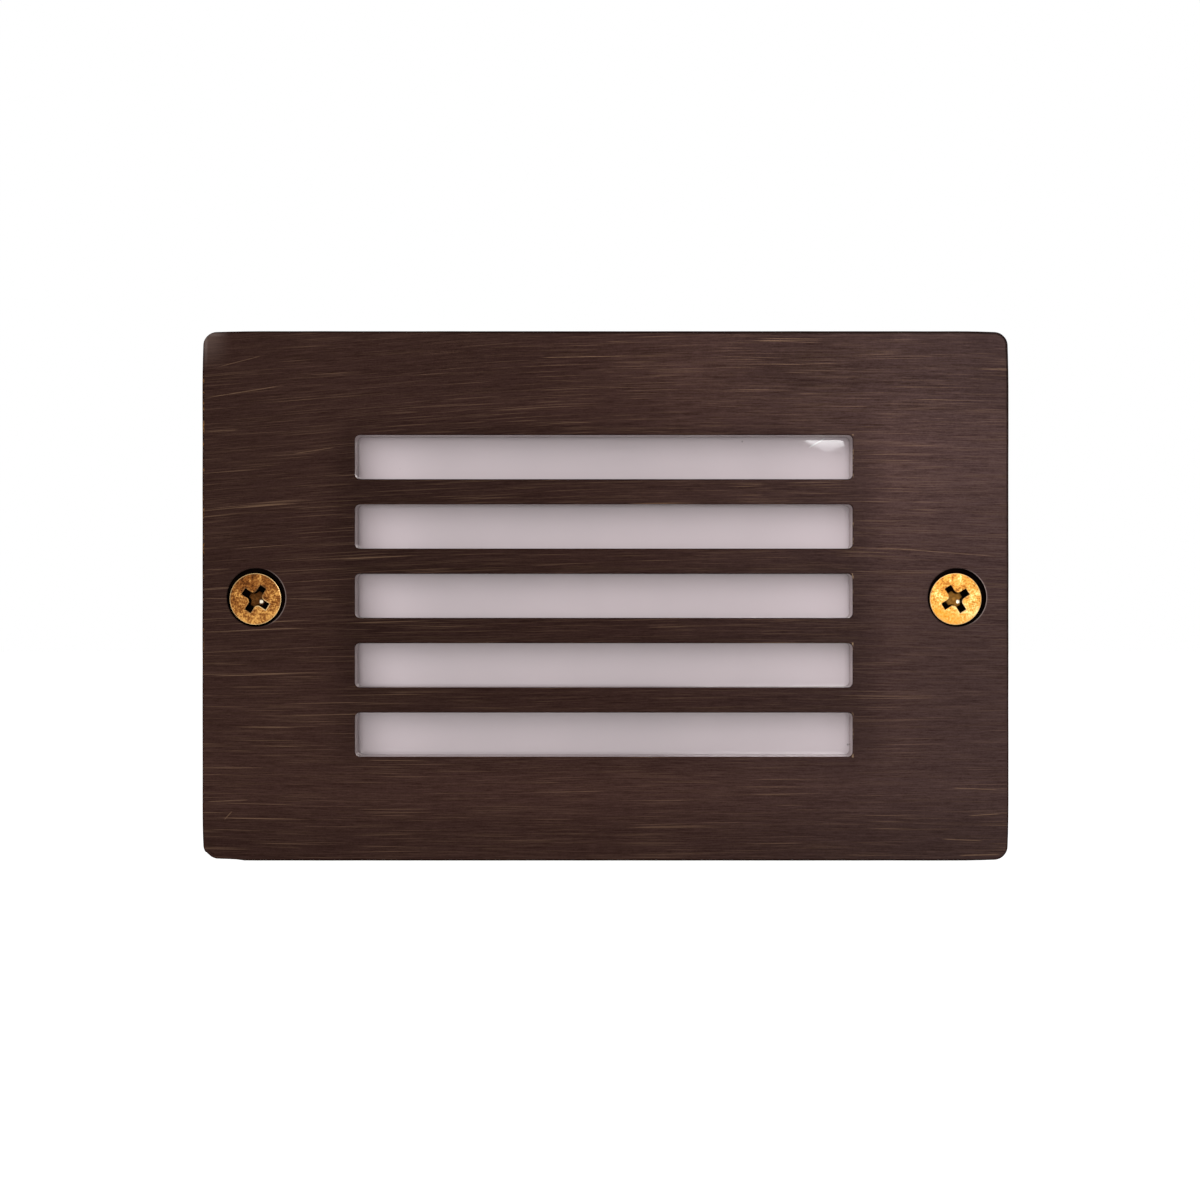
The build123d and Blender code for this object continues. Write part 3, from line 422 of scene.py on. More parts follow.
@dataclass(frozen=True)
class AgedBrass(Finish):
    """Brushed brass under a dark, rubbed brown patina, with wear on some of its edges, painted
    highlights and painted shade.

    A zone is a set of spans, and each span is where its part fades from 0 to 1.
    """

    # form of the cover
    half_width: float = 58.0
    half_height: float = 38.1
    slot_centre: float = -0.25
    slot_half_length: float = 35.75
    slot_half_height: float = 3.165
    slot_pitch: float = 9.97
    outer_row: float = 2.0
    hole_reach: float = 50.35
    hole_shift: tuple[float, float] = (0.16, -0.23)
    hole_radius: float = 4.225
    face: float = -7.0

    # the brush's way across the face, and the textures that follow it
    sway: Grain = Grain((0.02, 0.0, 0.05), detail=1.0)
    sway_reach: float = 1.6
    scratch_sway: float = 0.2
    climb: tuple[float, float] = (0.03, 0.00052)
    climb_rise: Span = (-30.0, 20.0)
    broad: Grain = Grain((0.03, 0.4, 0.7), detail=1.0)
    lines: Grain = Grain((0.22, 0.6, 9.0), detail=2.0, roughness=0.6)
    fine: Grain = Grain((0.8, 1.0, 11.0), (31.0, 0.0, 0.0), 1.0)
    grain: Grain = Grain((3.4, 3.4, 7.0), (0.0, 0.0, 17.0), 2.0)
    breaks: Grain = Grain((0.09, 0.0, 0.5), (5.0, 0.0, 9.0), 2.0)
    hair: Grain = Grain((0.06, 0.4, 12.0), (63.0, 0.0, 2.0), 1.0)
    stroke: Grain = Grain((0.08, 0.4, 15.0), (7.0, 0.0, 8.0), 1.0)
    bold: Grain = Grain((0.05, 0.4, 6.0), (11.0, 0.0, 4.0), 1.0)
    patches: Grain = Grain((0.9, 0.9, 0.9), roughness=0.7)
    relief: Relief = Relief(0.01, 0.55)

    # hairlines that show the brass
    hair_peaks: Span = (0.58, 0.76)
    hair_zone: Span = (0.40, 0.60)
    hair_strength: float = 0.6
    stroke_peaks: Span = (0.58, 0.72)
    stroke_zone: Span = (0.62, 0.42)
    stroke_strength: float = 0.32
    bold_peaks: Span = (0.64, 0.74)
    bold_side: Span = (-5.0, -45.0)
    bold_height: Span = (30.0, 15.0)
    bold_strength: float = 0.8
    scratch_floor: float = 0.2
    scratch_grit: float = 0.9

    # colour of the patina, with a painted highlight that makes it paler towards the right, and
    # patches of painted shade
    tone_weights: tuple[float, ...] = (0.15, 0.7, 0.45, 0.3)
    tone_span: Span = (0.46, 1.14)
    height_weights: tuple[float, ...] = (0.4, 0.35, 0.25, -0.3)
    left_tones: tuple[Colour, Colour] = ((38, 22, 18), (67, 47, 42))
    # painted highlight: a paler patina towards the right side and the top right corner
    right_highlight_tones: tuple[Colour, Colour] = ((44, 32, 31), (77, 62, 61))
    right_highlight_zone: Span = (-10.0, 60.0)
    right_highlight_corner: Span = (-10.0, 90.0)
    right_highlight_lean: float = 0.8
    right_highlight_weights: tuple[float, float] = (0.42, 0.18)
    # painted shade: darker towards the top, over the bars between the slots, along the bottom edge,
    # at the top middle and at the top right
    stains_and_shades: tuple[PaintedShade, ...] = (
        PaintedShade(0.2, (-30.0, 0.0)),
        PaintedShade(0.27, (28.0, 20.0), (42.0, 35.0), Fold.ALL_ROUND, -0.25),
        PaintedShade(0.22, (-28.0, -35.0)),
        PaintedShade(0.25, (10.0, 32.0), (48.0, 5.0), Fold.BOTH_SIDES),
        PaintedShade(0.26, (20.0, 32.0), (12.0, 30.0)),
    )

    # wear of the edges, paler brass at the slots' right ends, the bare rear rim, and painted
    # highlights and painted shade along the edges and round the screw holes
    # painted highlight: a pale glow inside the top left corner
    corner_highlight_zone: tuple[Span, Span] = ((4.5, 0.5), (6.0, 0.5))
    corner_highlight_coat: tuple[float, Colour] = (0.26, (130, 110, 102))
    rubbed_coat: tuple[float, Colour] = (0.55, (132, 104, 82))
    fresh_zone: tuple[Span, ...] = ((-57.55, -57.8), (0.52, 0.66), (-16.0, 10.0), (33.0, 30.0))
    fresh_coat: tuple[float, Colour] = (0.8, (150, 108, 66))
    slot_end_zone: tuple[Span, ...] = ((35.3, 35.6), (0.18, 0.05), (0.5, 0.62))
    slot_end_coat: tuple[float, Colour] = (0.7, (150, 124, 98))
    # painted highlights: a pale band along the edges near the top left corner, and a crescent on
    # each screw hole's right rim
    lit_band: tuple[Span, Span] = ((0.95, 0.55), (0.25, 0.5))
    lit_band_strength: float = 0.6
    lit_hole: tuple[Span, Span] = ((0.16, 0.06), (0.2, 0.9))
    lit_coat: tuple[float, Colour] = (0.4, (150, 134, 128))
    # painted shade: a dark line along the top, right and bottom edges, and on each screw hole's
    # left rim
    rim_shade_zones: tuple[Span, ...] = ((0.3, 0.1), (-56.5, -55.5), (36.0, 37.0))
    rim_shade_strength: float = 0.8
    hole_shade: tuple[Span, Span] = ((0.2, 0.02), (0.3, -0.3))
    hole_shade_strength: float = 0.4
    edge_shade_colour: Colour = (14, 9, 8)
    front_depth: Span = (1.3, 0.6)
    bare_zone: tuple[Span, Span] = ((3.2, 3.95), (0.7, 1.4))
    bare_tones: tuple[Colour, Colour] = ((92, 68, 44), (120, 92, 58))
    # the counterbore below the face: its dark patina, partly painted shade
    sunk_zone: tuple[Span, Span] = ((0.06, 0.0), (0.0, 0.2))
    sunk_patina_and_shade: Colour = (20, 12, 10)

    gloss: tuple[float, ...] = (-0.06, 0.14, 0.4)
    gloss_floor: float = 0.38
    tint: Colour = (120, 100, 84)
    scratches: tuple[Scratch, ...] = (
        Scratch((-57.9, -0.35), (-53.4, -0.4)),
        Scratch((-46.4, -0.4), (-38.5, -0.5)),
        Scratch((-57.8, 3.7), (-53.8, 3.9), 0.05),
        Scratch((-57.8, -5.2), (-55.4, -5.1), 0.05),
        Scratch((-57.9, 28.4), (-46.0, 30.3), 0.09),
        Scratch((-57.6, 23.6), (-52.5, 23.9), 0.08),
        Scratch((-56.0, 32.8), (-49.0, 34.6), 0.06),
        Scratch((-45.0, 20.4), (-38.6, 21.4)),
        Scratch((-57.5, -29.6), (-51.0, -29.3), 0.09),
        Scratch((-54.8, -32.2), (-53.6, -30.9), 0.1),
        Scratch((49.5, -27.6), (56.8, -27.9), 0.09),
        Scratch((52.0, -31.6), (57.0, -31.3), 0.1),
        Scratch((48.0, -34.9), (54.5, -35.2), 0.09),
        Scratch((50.5, -37.3), (57.2, -37.1), 0.12),
        Scratch((39.0, 7.0), (57.5, 5.6), 0.06),
        Scratch((-10.0, 34.2), (4.0, 34.5), 0.06),
    )

    def surface(self, graph: Graph) -> dict[str, object]:
        """Patina colour with a painted highlight and patches of painted shade, brushed lines,
        scratches, edge wear, and painted highlights and shade at the edges and holes.

        Args:
            graph: The material's graph.

        Returns:
            The shader's sockets and what feeds them.
        """
        point = x, y, z = graph.coordinates()
        sway = self.sway.at(graph, point) - 0.5
        climb = (x * self.climb[0] - x * x * self.climb[1]) * z.rise(*self.climb_rise)
        bent = (x, y, z - climb + sway * self.sway_reach)
        lines, fine = self.lines.at(graph, bent), self.fine.at(graph, bent)
        grain = self.grain.at(graph, point)
        rubbed = self.rubbing(graph, bent, z)
        for scratch in self.scratches:
            grit = self.scratch_floor + fine * self.scratch_grit
            rubbed = rubbed.most(scratch.mask(x, z + sway * self.scratch_sway) * grit)
        layers = (self.broad.at(graph, bent), lines, fine, grain)
        tone = weighted(layers, self.tone_weights).rise(*self.tone_span)
        base = graph.between(tone, self.left_tones)
        # painted highlight: the patina turns paler towards the right and the top right corner
        corner = (x + z * self.right_highlight_lean).rise(*self.right_highlight_corner)
        right = weighted((x.rise(*self.right_highlight_zone), corner), self.right_highlight_weights)
        base = graph.blend(right, base, graph.between(tone, self.right_highlight_tones))
        # painted shade laid over the patina
        painted_shade = weighted(
            [shade_patch.mask(x, z) for shade_patch in self.stains_and_shades], [shade_patch.strength for shade_patch in self.stains_and_shades]
        )
        base = graph.blend(painted_shade, base, BLACK)
        return self.wear_and_painted_light(graph, point, base, tone, (lines, fine, grain, rubbed))

    def rubbing(self, graph: Graph, bent: Point, z: Signal) -> Signal:
        """Hairlines that the brush left, in which the brass shows.

        Args:
            graph: The finish's graph.
            bent: The surface point, with its Z bent along the brush's way.
            z: The point's own Z.

        Returns:
            Their mask.
        """
        breaks, hair, stroke, bold = (
            layer.at(graph, bent) for layer in (self.breaks, self.hair, self.stroke, self.bold)
        )
        hair = hair.rise(*self.hair_peaks) * breaks.rise(*self.hair_zone)
        stroke = stroke.rise(*self.stroke_peaks) * breaks.rise(*self.stroke_zone)
        left = bent[0].rise(*self.bold_side) * z.rise(*self.bold_height)
        bold = bold.rise(*self.bold_peaks) * left
        fine_lines = (hair * self.hair_strength).most(stroke * self.stroke_strength)
        return fine_lines.most(bold * self.bold_strength)

    @staticmethod
    def faded(parts: Sequence[Signal], spans: Sequence[Span]) -> Signal:
        """The product of several parts' fades, each over its own span."""
        fades = [part.rise(*span) for part, span in zip(parts, spans)]
        return functools.reduce(operator.mul, fades)

    def wear_and_painted_light(
        self, graph: Graph, point: Point, base: Signal, tone: Signal, layers: Sequence[Signal]
    ) -> dict[str, object]:
        """Adds the wear of edges, paler brass at the slots' right ends, the bare rear rim, and
        painted highlights and painted shade along the edges and round the screw holes.

        Args:
            graph: The finish's graph.
            point: The surface point.
            base: The patina's colour.
            tone: How pale the patina is, from 0 to 1.
            layers: Lines, fine lines, grain and rubbed lines, from 0 to 1.

        Returns:
            The shader's sockets and what feeds them.
        """
        x, y, z = point
        rubbed = layers[-1]
        rim = (self.half_width - abs(x)).least(self.half_height - abs(z))
        row = (z / self.slot_pitch).apply("ROUND").least(self.outer_row).most(-self.outer_row)
        slot = (abs(x - self.slot_centre) - self.slot_half_length).most(
            abs(z - row * self.slot_pitch) - self.slot_half_height
        )
        across = x - x.apply("SIGN") * self.hole_reach - self.hole_shift[0]
        up = z - self.hole_shift[1]
        hole = (across * across + up * up) ** 0.5
        hole_edge, hole_side = abs(hole - self.hole_radius), across / hole
        depth = y - self.face
        patchy = self.patches.at(graph, point)
        front = depth.rise(*self.front_depth)

        # painted highlight inside the top left corner
        corner = self.faded((x + self.half_width, self.half_height - z), self.corner_highlight_zone)
        fresh = self.faded((x, patchy, z, z), self.fresh_zone) * front
        slot_end = self.faded((x, abs(slot), patchy), self.slot_end_zone)
        # painted highlights along the edges near the top left corner and on the screw holes' right
        # rims
        lit = self.faded((rim, rim), self.lit_band) * corner * self.lit_band_strength
        lit = lit.most(self.faded((hole_edge, hole_side), self.lit_hole))
        # painted shade along the top, right and bottom edges and on the screw holes' left rims
        ends = x.rise(*self.rim_shade_zones[1]).most(z.rise(*self.rim_shade_zones[2]))
        dark = rim.rise(*self.rim_shade_zones[0]) * ends * self.rim_shade_strength
        hole_shade = self.faded((hole_edge, hole_side), self.hole_shade)
        dark = dark.most(hole_shade * self.hole_shade_strength)
        bare = self.faded((depth, rim), self.bare_zone)
        # dark patina in the counterbore, partly painted shade
        sunk = self.faded((hole - self.hole_radius, depth), self.sunk_zone)

        for mask, (strength, coat) in (
            (corner, self.corner_highlight_coat),
            (rubbed, self.rubbed_coat),
            (fresh, self.fresh_coat),
            (slot_end, self.slot_end_coat),
            (lit, self.lit_coat),
            (dark * front, (1.0, self.edge_shade_colour)),
        ):
            base = graph.blend((mask * strength).clamped(), base, colour(*coat))
        base = graph.blend(bare, base, graph.between(patchy, self.bare_tones))
        base = graph.blend(sunk, base, colour(*self.sunk_patina_and_shade))
        roughness = weighted((tone, bare, sunk), self.gloss) + self.gloss_floor
        return {
            "Base Color": base,
            "Metallic": 1.0,
            "Roughness": roughness.clamped(),
            "Specular Tint": colour(*self.tint),
            "Normal": self.relief.normal(graph, weighted(layers, self.height_weights)),
        }


@dataclass(frozen=True)
class SlotWall(Finish):
    """Smooth, pale cast brass on the walls of the cover's slots."""

    stains_and_shades: Grain = Grain((0.5, 0.8, 0.5))
    grain: Grain = Grain((4.0, 4.0, 4.0), detail=1.0)
    weights: tuple[float, float] = (0.7, 0.3)
    span: Span = (0.3, 0.7)
    tones: tuple[Colour, Colour] = ((146, 130, 126), (172, 158, 154))
    gloss: tuple[float, float] = (0.24, 0.06)
    relief: Relief = Relief(0.01, 0.4)

    def surface(self, graph: Graph) -> dict[str, object]:
        """Satin metal with cloudy stains.

        Args:
            graph: The material's graph.

        Returns:
            The shader's sockets and what feeds them.
        """
        point = graph.coordinates()
        grain = self.grain.at(graph, point)
        share = weighted((self.stains_and_shades.at(graph, point), grain), self.weights).rise(*self.span)
        return {
            "Base Color": graph.between(share, self.tones),
            "Metallic": 1.0,
            "Roughness": (self.gloss[0] - share * self.gloss[1]).clamped(),
            "Normal": self.relief.normal(graph, grain),
        }


class Tone(Enum):
    """How far a face screw's lacquer has darkened; the coppery tone is partly painted shade and the
    golden tone partly a painted highlight.
    """

    COPPERY_SHADED = "coppery"
    GOLDEN_LIT = "golden"


# dull, middle and clean tones; the two sets are partly a shaded and a lit copy of one brass, as
# painted light
LACQUERS: Mapping[Tone, tuple[Colour, Colour, Colour]] = {
    Tone.COPPERY_SHADED: ((66, 33, 14), (136, 82, 36), (218, 160, 84)),
    Tone.GOLDEN_LIT: ((150, 88, 32), (222, 154, 68), (252, 214, 142)),
}


@dataclass(frozen=True)
class ScrewBrass(Finish):
    """Yellow brass screw, discoloured on its head, dark in its recess from dirt and painted shade,
    with a painted glint on the recess floor.
    """

    tone: Tone
    centre: tuple[float, float]
    face: float = -6.75
    top_depth: Span = (0.5, 0.2)
    blotches: Grain = Grain((0.9, 0.4, 0.9), (3.0, 0.0, 0.0), 3.0, 0.6)
    specks: Grain = Grain((3.4, 3.4, 3.4), (0.0, 0.0, 11.0), 3.0, 0.7)
    share_weights: tuple[float, ...] = (0.45, 0.65, 0.006, -0.02)
    share_span: Span = (0.34, 0.74)
    shank_share: float = 0.55
    shank_contrast: float = 0.25
    dull_span: Span = (0.0, 0.55)
    clean_span: Span = (0.5, 1.0)
    patch_zone: tuple[Span, Span] = ((-1.5, -2.6), (0.34, 0.5))
    patch_lean: float = 0.3
    patch_coat: tuple[float, Colour] = (0.75, (218, 136, 30))
    pit_span: Span = (0.40, 0.33)
    pit_coat: tuple[float, Colour] = (0.6, (62, 34, 16))
    # rubbed edges, partly a painted highlight
    rubbed_and_highlight_coat: tuple[float, Colour] = (0.8, (236, 200, 140))
    # dirt and painted shade in the recess
    grime_and_shade_span: Span = (0.1, 0.8)
    grime_and_shade_colour: Colour = (14, 8, 5)
    # painted highlight: a glint on the recess floor, below and right of the middle
    spark: tuple[float, float] = (0.62, -0.36)
    glint_radius: Span = (0.5, 0.3)
    glint_ragged: float = 0.3
    glint_depths: tuple[Span, Span] = ((1.0, 1.3), (1.95, 1.75))
    painted_glint_colour: Colour = (255, 246, 220)
    gloss: tuple[float, ...] = (-0.1, 0.4, -0.1, -0.2)
    gloss_floor: float = 0.42
    height_weights: tuple[float, float] = (0.3, 0.7)
    relief: Relief = Relief(0.03, 0.6)

    def surface(self, graph: Graph) -> dict[str, object]:
        """Mottled lacquer, a bright rim that is partly rubbed and partly a painted highlight, dirt
        and painted shade in the recess, and a painted glint on its floor.

        Args:
            graph: The material's graph.

        Returns:
            The shader's sockets and what feeds them.
        """
        x, y, z = graph.coordinates()
        dx, dz = x - self.centre[0], z - self.centre[1]
        depth = y - self.face
        blotch, speck = (layer.at(graph, (dx, y, dz)) for layer in (self.blotches, self.specks))
        top = depth.rise(*self.top_depth)
        share = weighted((blotch, speck, dx, dz), self.share_weights).rise(*self.share_span)
        contrast = self.shank_contrast + top * (1 - self.shank_contrast)
        share = self.shank_share + (share - self.shank_share) * contrast
        dull, middle, clean = LACQUERS[self.tone]
        base = graph.between(share.rise(*self.dull_span), (dull, middle))
        base = graph.blend(share.rise(*self.clean_span), base, colour(*clean))
        # dirt with painted shade, and rubbed edges with painted highlights, as marked on the mesh
        grime_and_shade, wear_and_painted_light = (
            graph.add("ShaderNodeAttribute", {"attribute_name": name}, None, "Fac")
            for name in ("grime_and_shade", "polish_and_highlight")
        )
        coats = [(speck.rise(*self.pit_span) * top, self.pit_coat), (wear_and_painted_light, self.rubbed_and_highlight_coat)]
        if self.tone is Tone.GOLDEN_LIT:
            patch = (dz + dx * self.patch_lean).rise(*self.patch_zone[0])
            coats.insert(0, (patch * blotch.rise(*self.patch_zone[1]), self.patch_coat))
        for mask, (strength, coat) in coats:
            base = graph.blend((mask * strength).clamped(), base, colour(*coat))
        base = graph.blend(grime_and_shade.rise(*self.grime_and_shade_span), base, colour(*self.grime_and_shade_colour))
        # painted highlight: a glint on the recess floor
        off_x, off_z = dx - self.spark[0], dz - self.spark[1]
        far = (off_x * off_x + off_z * off_z) ** 0.5 + speck * self.glint_ragged
        spark = far.rise(*self.glint_radius)
        for span in self.glint_depths:
            spark *= depth.rise(*span)
        base = graph.blend(spark, base, colour(*self.painted_glint_colour))
        roughness = weighted((share, grime_and_shade, wear_and_painted_light, spark), self.gloss) + self.gloss_floor
        return {
            "Base Color": base,
            "Metallic": 1.0,
            "Roughness": roughness.clamped(),
            "Normal": self.relief.normal(graph, weighted((blotch, speck), self.height_weights)),
        }


@dataclass(frozen=True)
class OpalAcrylic(Finish):
    """Glossy opal sheet with dust and one scuff, with painted light towards the slots' ends and the
    right, and painted shade towards the bottom.
    """

    cloud: Grain = Grain((0.05, 0.2, 0.05), detail=2.0)
    cloud_span: Span = (0.25, 0.75)
    grain: Grain = Grain((0.9, 0.9, 0.9))
    tones: tuple[Colour, Colour] = ((210, 197, 201), (218, 204, 208))
    # painted light: paler towards both ends of the slots and towards the right
    end_light_zones: tuple[tuple[Span, float], ...] = (
        ((-22.0, -35.0), 0.65),
        ((22.0, 35.0), 0.5),
        ((2.0, 28.0), 0.25),
    )
    painted_light_colour: Colour = (240, 225, 230)
    # painted shade: darker towards the bottom
    low_shade_zone: Span = (4.0, -26.0)
    low_shade_coat: tuple[float, Colour] = (0.09, (60, 54, 56))
    dust_waves: float = 0.13
    dust_shift: float = 2.0
    dust_span: Span = (0.032, 0.014)
    dust_coat: tuple[float, Colour] = (0.6, (104, 90, 86))
    scuff: Scratch = Scratch((29.6, 21.6), (32.2, 23.1), 0.16)
    scuff_coat: tuple[float, Colour] = (0.9, (255, 253, 253))
    gloss: tuple[float, float] = (0.01, 0.02)
    shine: float = 0.8
    milkiness: float = 0.2
    scatter: float = 0.004
    scatter_scale: float = 0.4

    def surface(self, graph: Graph) -> dict[str, object]:
        """Faint clouding, painted light towards the slots' ends and the right, painted shade
        towards the bottom, specks of dust and a scuff near the top slot's end.

        Args:
            graph: The material's graph.

        Returns:
            The shader's sockets and what feeds them.
        """
        point = x, y, z = graph.coordinates()
        grain = self.grain.at(graph, point)
        waves = self.dust_waves
        place = graph.vector(x * waves + self.dust_shift, y * waves, z * waves)
        dust = graph.cells(place, 1.0).rise(*self.dust_span)
        # painted light towards both ends of the slots and towards the right
        shares = [x.rise(*span) for span, _ in self.end_light_zones]
        clear = weighted(shares, [strength for _, strength in self.end_light_zones]).clamped()
        base = graph.between(self.cloud.at(graph, point).rise(*self.cloud_span), self.tones)
        base = graph.blend(clear, base, colour(*self.painted_light_colour))
        for mask, (strength, coat) in (
            # painted shade towards the bottom
            (z.rise(*self.low_shade_zone), self.low_shade_coat),
            (dust, self.dust_coat),
            (self.scuff.mask(x, z), self.scuff_coat),
        ):
            base = graph.blend(mask * strength, base, colour(*coat))
        return {
            "Base Color": base,
            "Roughness": (self.gloss[0] + grain * self.gloss[1]).clamped(),
            "Specular IOR Level": self.shine,
            "Subsurface Weight": self.milkiness,
            "Subsurface Radius": (self.scatter,) * 3,
            "Subsurface Scale": self.scatter_scale,
        }


@dataclass(frozen=True)
class Rubber(Finish):
    """Black closed-cell rubber with a fine grain and paler dust."""

    grain: Grain = Grain((2.4, 2.4, 2.4), detail=4.0, roughness=0.65)
    grain_span: Span = (0.6, 0.8)
    bloom: Grain = Grain((0.12, 0.12, 0.12))
    bloom_span: Span = (0.4, 0.75)
    tones: tuple[Colour, Colour] = ((24, 24, 26), (46, 45, 46))
    dust_coat: tuple[float, Colour] = (0.5, (66, 65, 66))
    gloss: tuple[float, float] = (0.72, 0.2)
    relief: Relief = Relief(0.05, 0.7)

    def surface(self, graph: Graph) -> dict[str, object]:
        """Grainy dark rubber.

        Args:
            graph: The material's graph.

        Returns:
            The shader's sockets and what feeds them.
        """
        point = graph.coordinates()
        grain = self.grain.at(graph, point)
        base = graph.between(self.bloom.at(graph, point).rise(*self.bloom_span), self.tones)
        strength, dust = self.dust_coat
        return {
            "Base Color": graph.blend(grain.rise(*self.grain_span) * strength, base, colour(*dust)),
            "Roughness": (self.gloss[0] + grain * self.gloss[1]).clamped(),
            "Normal": self.relief.normal(graph, grain),
        }


@dataclass(frozen=True)
class PlainMetal(Finish):
    """Bare metal with drawn or turned lines along one direction and dull patches."""

    tones: tuple[Colour, Colour] = ((120, 120, 122), (188, 188, 190))
    lines: Grain = Grain((0.1, 3.0, 3.0))
    roughness: float = 0.34
    dullness: float = 0.16
    patches: Grain = Grain((0.25, 0.25, 0.25))
    weights: tuple[float, float] = (0.6, 0.6)
    span: Span = (0.3, 0.85)
    relief: Relief = Relief(0.015, 0.5)

    def surface(self, graph: Graph) -> dict[str, object]:
        """Fine lines and dull patches.

        Args:
            graph: The material's graph.

        Returns:
            The shader's sockets and what feeds them.
        """
        point = graph.coordinates()
        lines = self.lines.at(graph, point)
        share = weighted((lines, self.patches.at(graph, point)), self.weights).rise(*self.span)
        return {
            "Base Color": graph.between(share, self.tones),
            "Metallic": 1.0,
            "Roughness": (self.roughness + (1.0 - share) * self.dullness).clamped(),
            "Normal": self.relief.normal(graph, lines),
        }


@dataclass(frozen=True)
class MouldedPlastic(Finish):
    """Moulded plastic with a spark-eroded grain, flow marks and dust."""

    tones: tuple[Colour, Colour] = ((26, 26, 29), (52, 52, 56))
    waves: float = 2.2
    roughness: float = 0.52
    grain_gloss: float = 0.22
    grain_detail: float = 4.0
    grain_roughness: float = 0.7
    flow: Grain = Grain((0.05, 0.12, 0.03))
    weights: tuple[float, float] = (0.6, 0.4)
    span: Span = (0.3, 0.75)
    dust: Grain = Grain((0.35, 0.35, 0.35), detail=5.0, roughness=0.7)
    dust_span: Span = (0.62, 0.8)
    dust_coat: tuple[float, Colour] = (0.25, (150, 146, 140))
    relief: Relief = Relief(0.06, 0.7)

    def surface(self, graph: Graph) -> dict[str, object]:
        """Grain, flow marks and faint dust.

        Args:
            graph: The material's graph.

        Returns:
            The shader's sockets and what feeds them.
        """
        point = graph.coordinates()
        grain = Grain((self.waves,) * 3, detail=self.grain_detail, roughness=self.grain_roughness)
        spark = grain.at(graph, point)
        share = weighted((self.flow.at(graph, point), spark), self.weights).rise(*self.span)
        dust = self.dust.at(graph, point).rise(*self.dust_span)
        strength, coat = self.dust_coat
        base = graph.between(share, self.tones)
        return {
            "Base Color": graph.blend(dust * strength, base, colour(*coat)),
            "Roughness": (self.roughness + spark * self.grain_gloss).clamped(),
            "Normal": self.relief.normal(graph, spark),
        }


@dataclass(frozen=True)
class Steatite(Finish):
    """Unglazed ceramic with speckles and a chalky bloom."""

    chalk: Grain = Grain((0.6, 0.6, 0.6), detail=4.0, roughness=0.6)
    chalk_span: Span = (0.3, 0.7)
    tones: tuple[Colour, Colour] = ((206, 200, 186), (234, 230, 220))
    speck_waves: float = 1.4
    speck_span: Span = (0.12, 0.05)
    speck_coat: tuple[float, Colour] = (0.6, (140, 124, 104))
    gloss: tuple[float, float] = (0.62, 0.2)
    relief: Relief = Relief(0.05, 0.5)

    def surface(self, graph: Graph) -> dict[str, object]:
        """Speckled off-white ceramic.

        Args:
            graph: The material's graph.

        Returns:
            The shader's sockets and what feeds them.
        """
        point = graph.coordinates()
        chalk = self.chalk.at(graph, point)
        speck = graph.cells(graph.vector(*point), self.speck_waves).rise(*self.speck_span)
        strength, coat = self.speck_coat
        base = graph.between(chalk.rise(*self.chalk_span), self.tones)
        return {
            "Base Color": graph.blend(speck * strength, base, colour(*coat)),
            "Roughness": (self.gloss[0] + chalk * self.gloss[1]).clamped(),
            "Normal": self.relief.normal(graph, chalk),
        }


@dataclass(frozen=True)
class Sleeving(Finish):
    """White silicone sleeve with a braided grain."""

    thread_waves: float = 5.5
    lean: float = 1.3
    gap_span: Span = (-0.2, -0.9)
    gap_coat: tuple[float, Colour] = (0.35, (176, 170, 158))
    soil: Grain = Grain((0.4, 0.4, 0.4))
    soil_span: Span = (0.35, 0.75)
    tones: tuple[Colour, Colour] = ((212, 207, 194), (232, 229, 220))
    gloss: tuple[float, float] = (0.55, 0.15)
    relief: Relief = Relief(0.04, 0.5)

    def surface(self, graph: Graph) -> dict[str, object]:
        """Pale sleeve with fine diagonal threads.

        Args:
            graph: The material's graph.

        Returns:
            The shader's sockets and what feeds them.
        """
        point = x, y, z = graph.coordinates()
        ways = (x + y + z, x - y + z * self.lean)
        first, second = ((way * self.thread_waves).apply("SINE") for way in ways)
        weave = first * second
        soil = self.soil.at(graph, point)
        strength, coat = self.gap_coat
        base = graph.between(soil.rise(*self.soil_span), self.tones)
        return {
            "Base Color": graph.blend(weave.rise(*self.gap_span) * strength, base, colour(*coat)),
            "Roughness": (self.gloss[0] + soil * self.gloss[1]).clamped(),
            "Normal": self.relief.normal(graph, weave * 0.5 + 0.5),
        }


@dataclass(frozen=True)
class Quartz(Finish):
    """Clear quartz glass, faintly streaked from drawing."""

    streaks: Grain = Grain((0.12, 1.2, 1.2), detail=2.0)
    tones: tuple[Colour, Colour] = ((246, 248, 250), (255, 255, 255))
    dullness: float = 0.05
    refraction: float = 1.46
    relief: Relief = Relief(0.01, 0.3)

    def surface(self, graph: Graph) -> dict[str, object]:
        """Clear glass with fine draw lines.

        Args:
            graph: The material's graph.

        Returns:
            The shader's sockets and what feeds them.
        """
        draw = self.streaks.at(graph, graph.coordinates())
        return {
            "Base Color": graph.between(draw, self.tones),
            "Roughness": (draw * self.dullness).clamped(),
            "Transmission Weight": 1.0,
            "IOR": self.refraction,
            "Normal": self.relief.normal(graph, draw),
        }


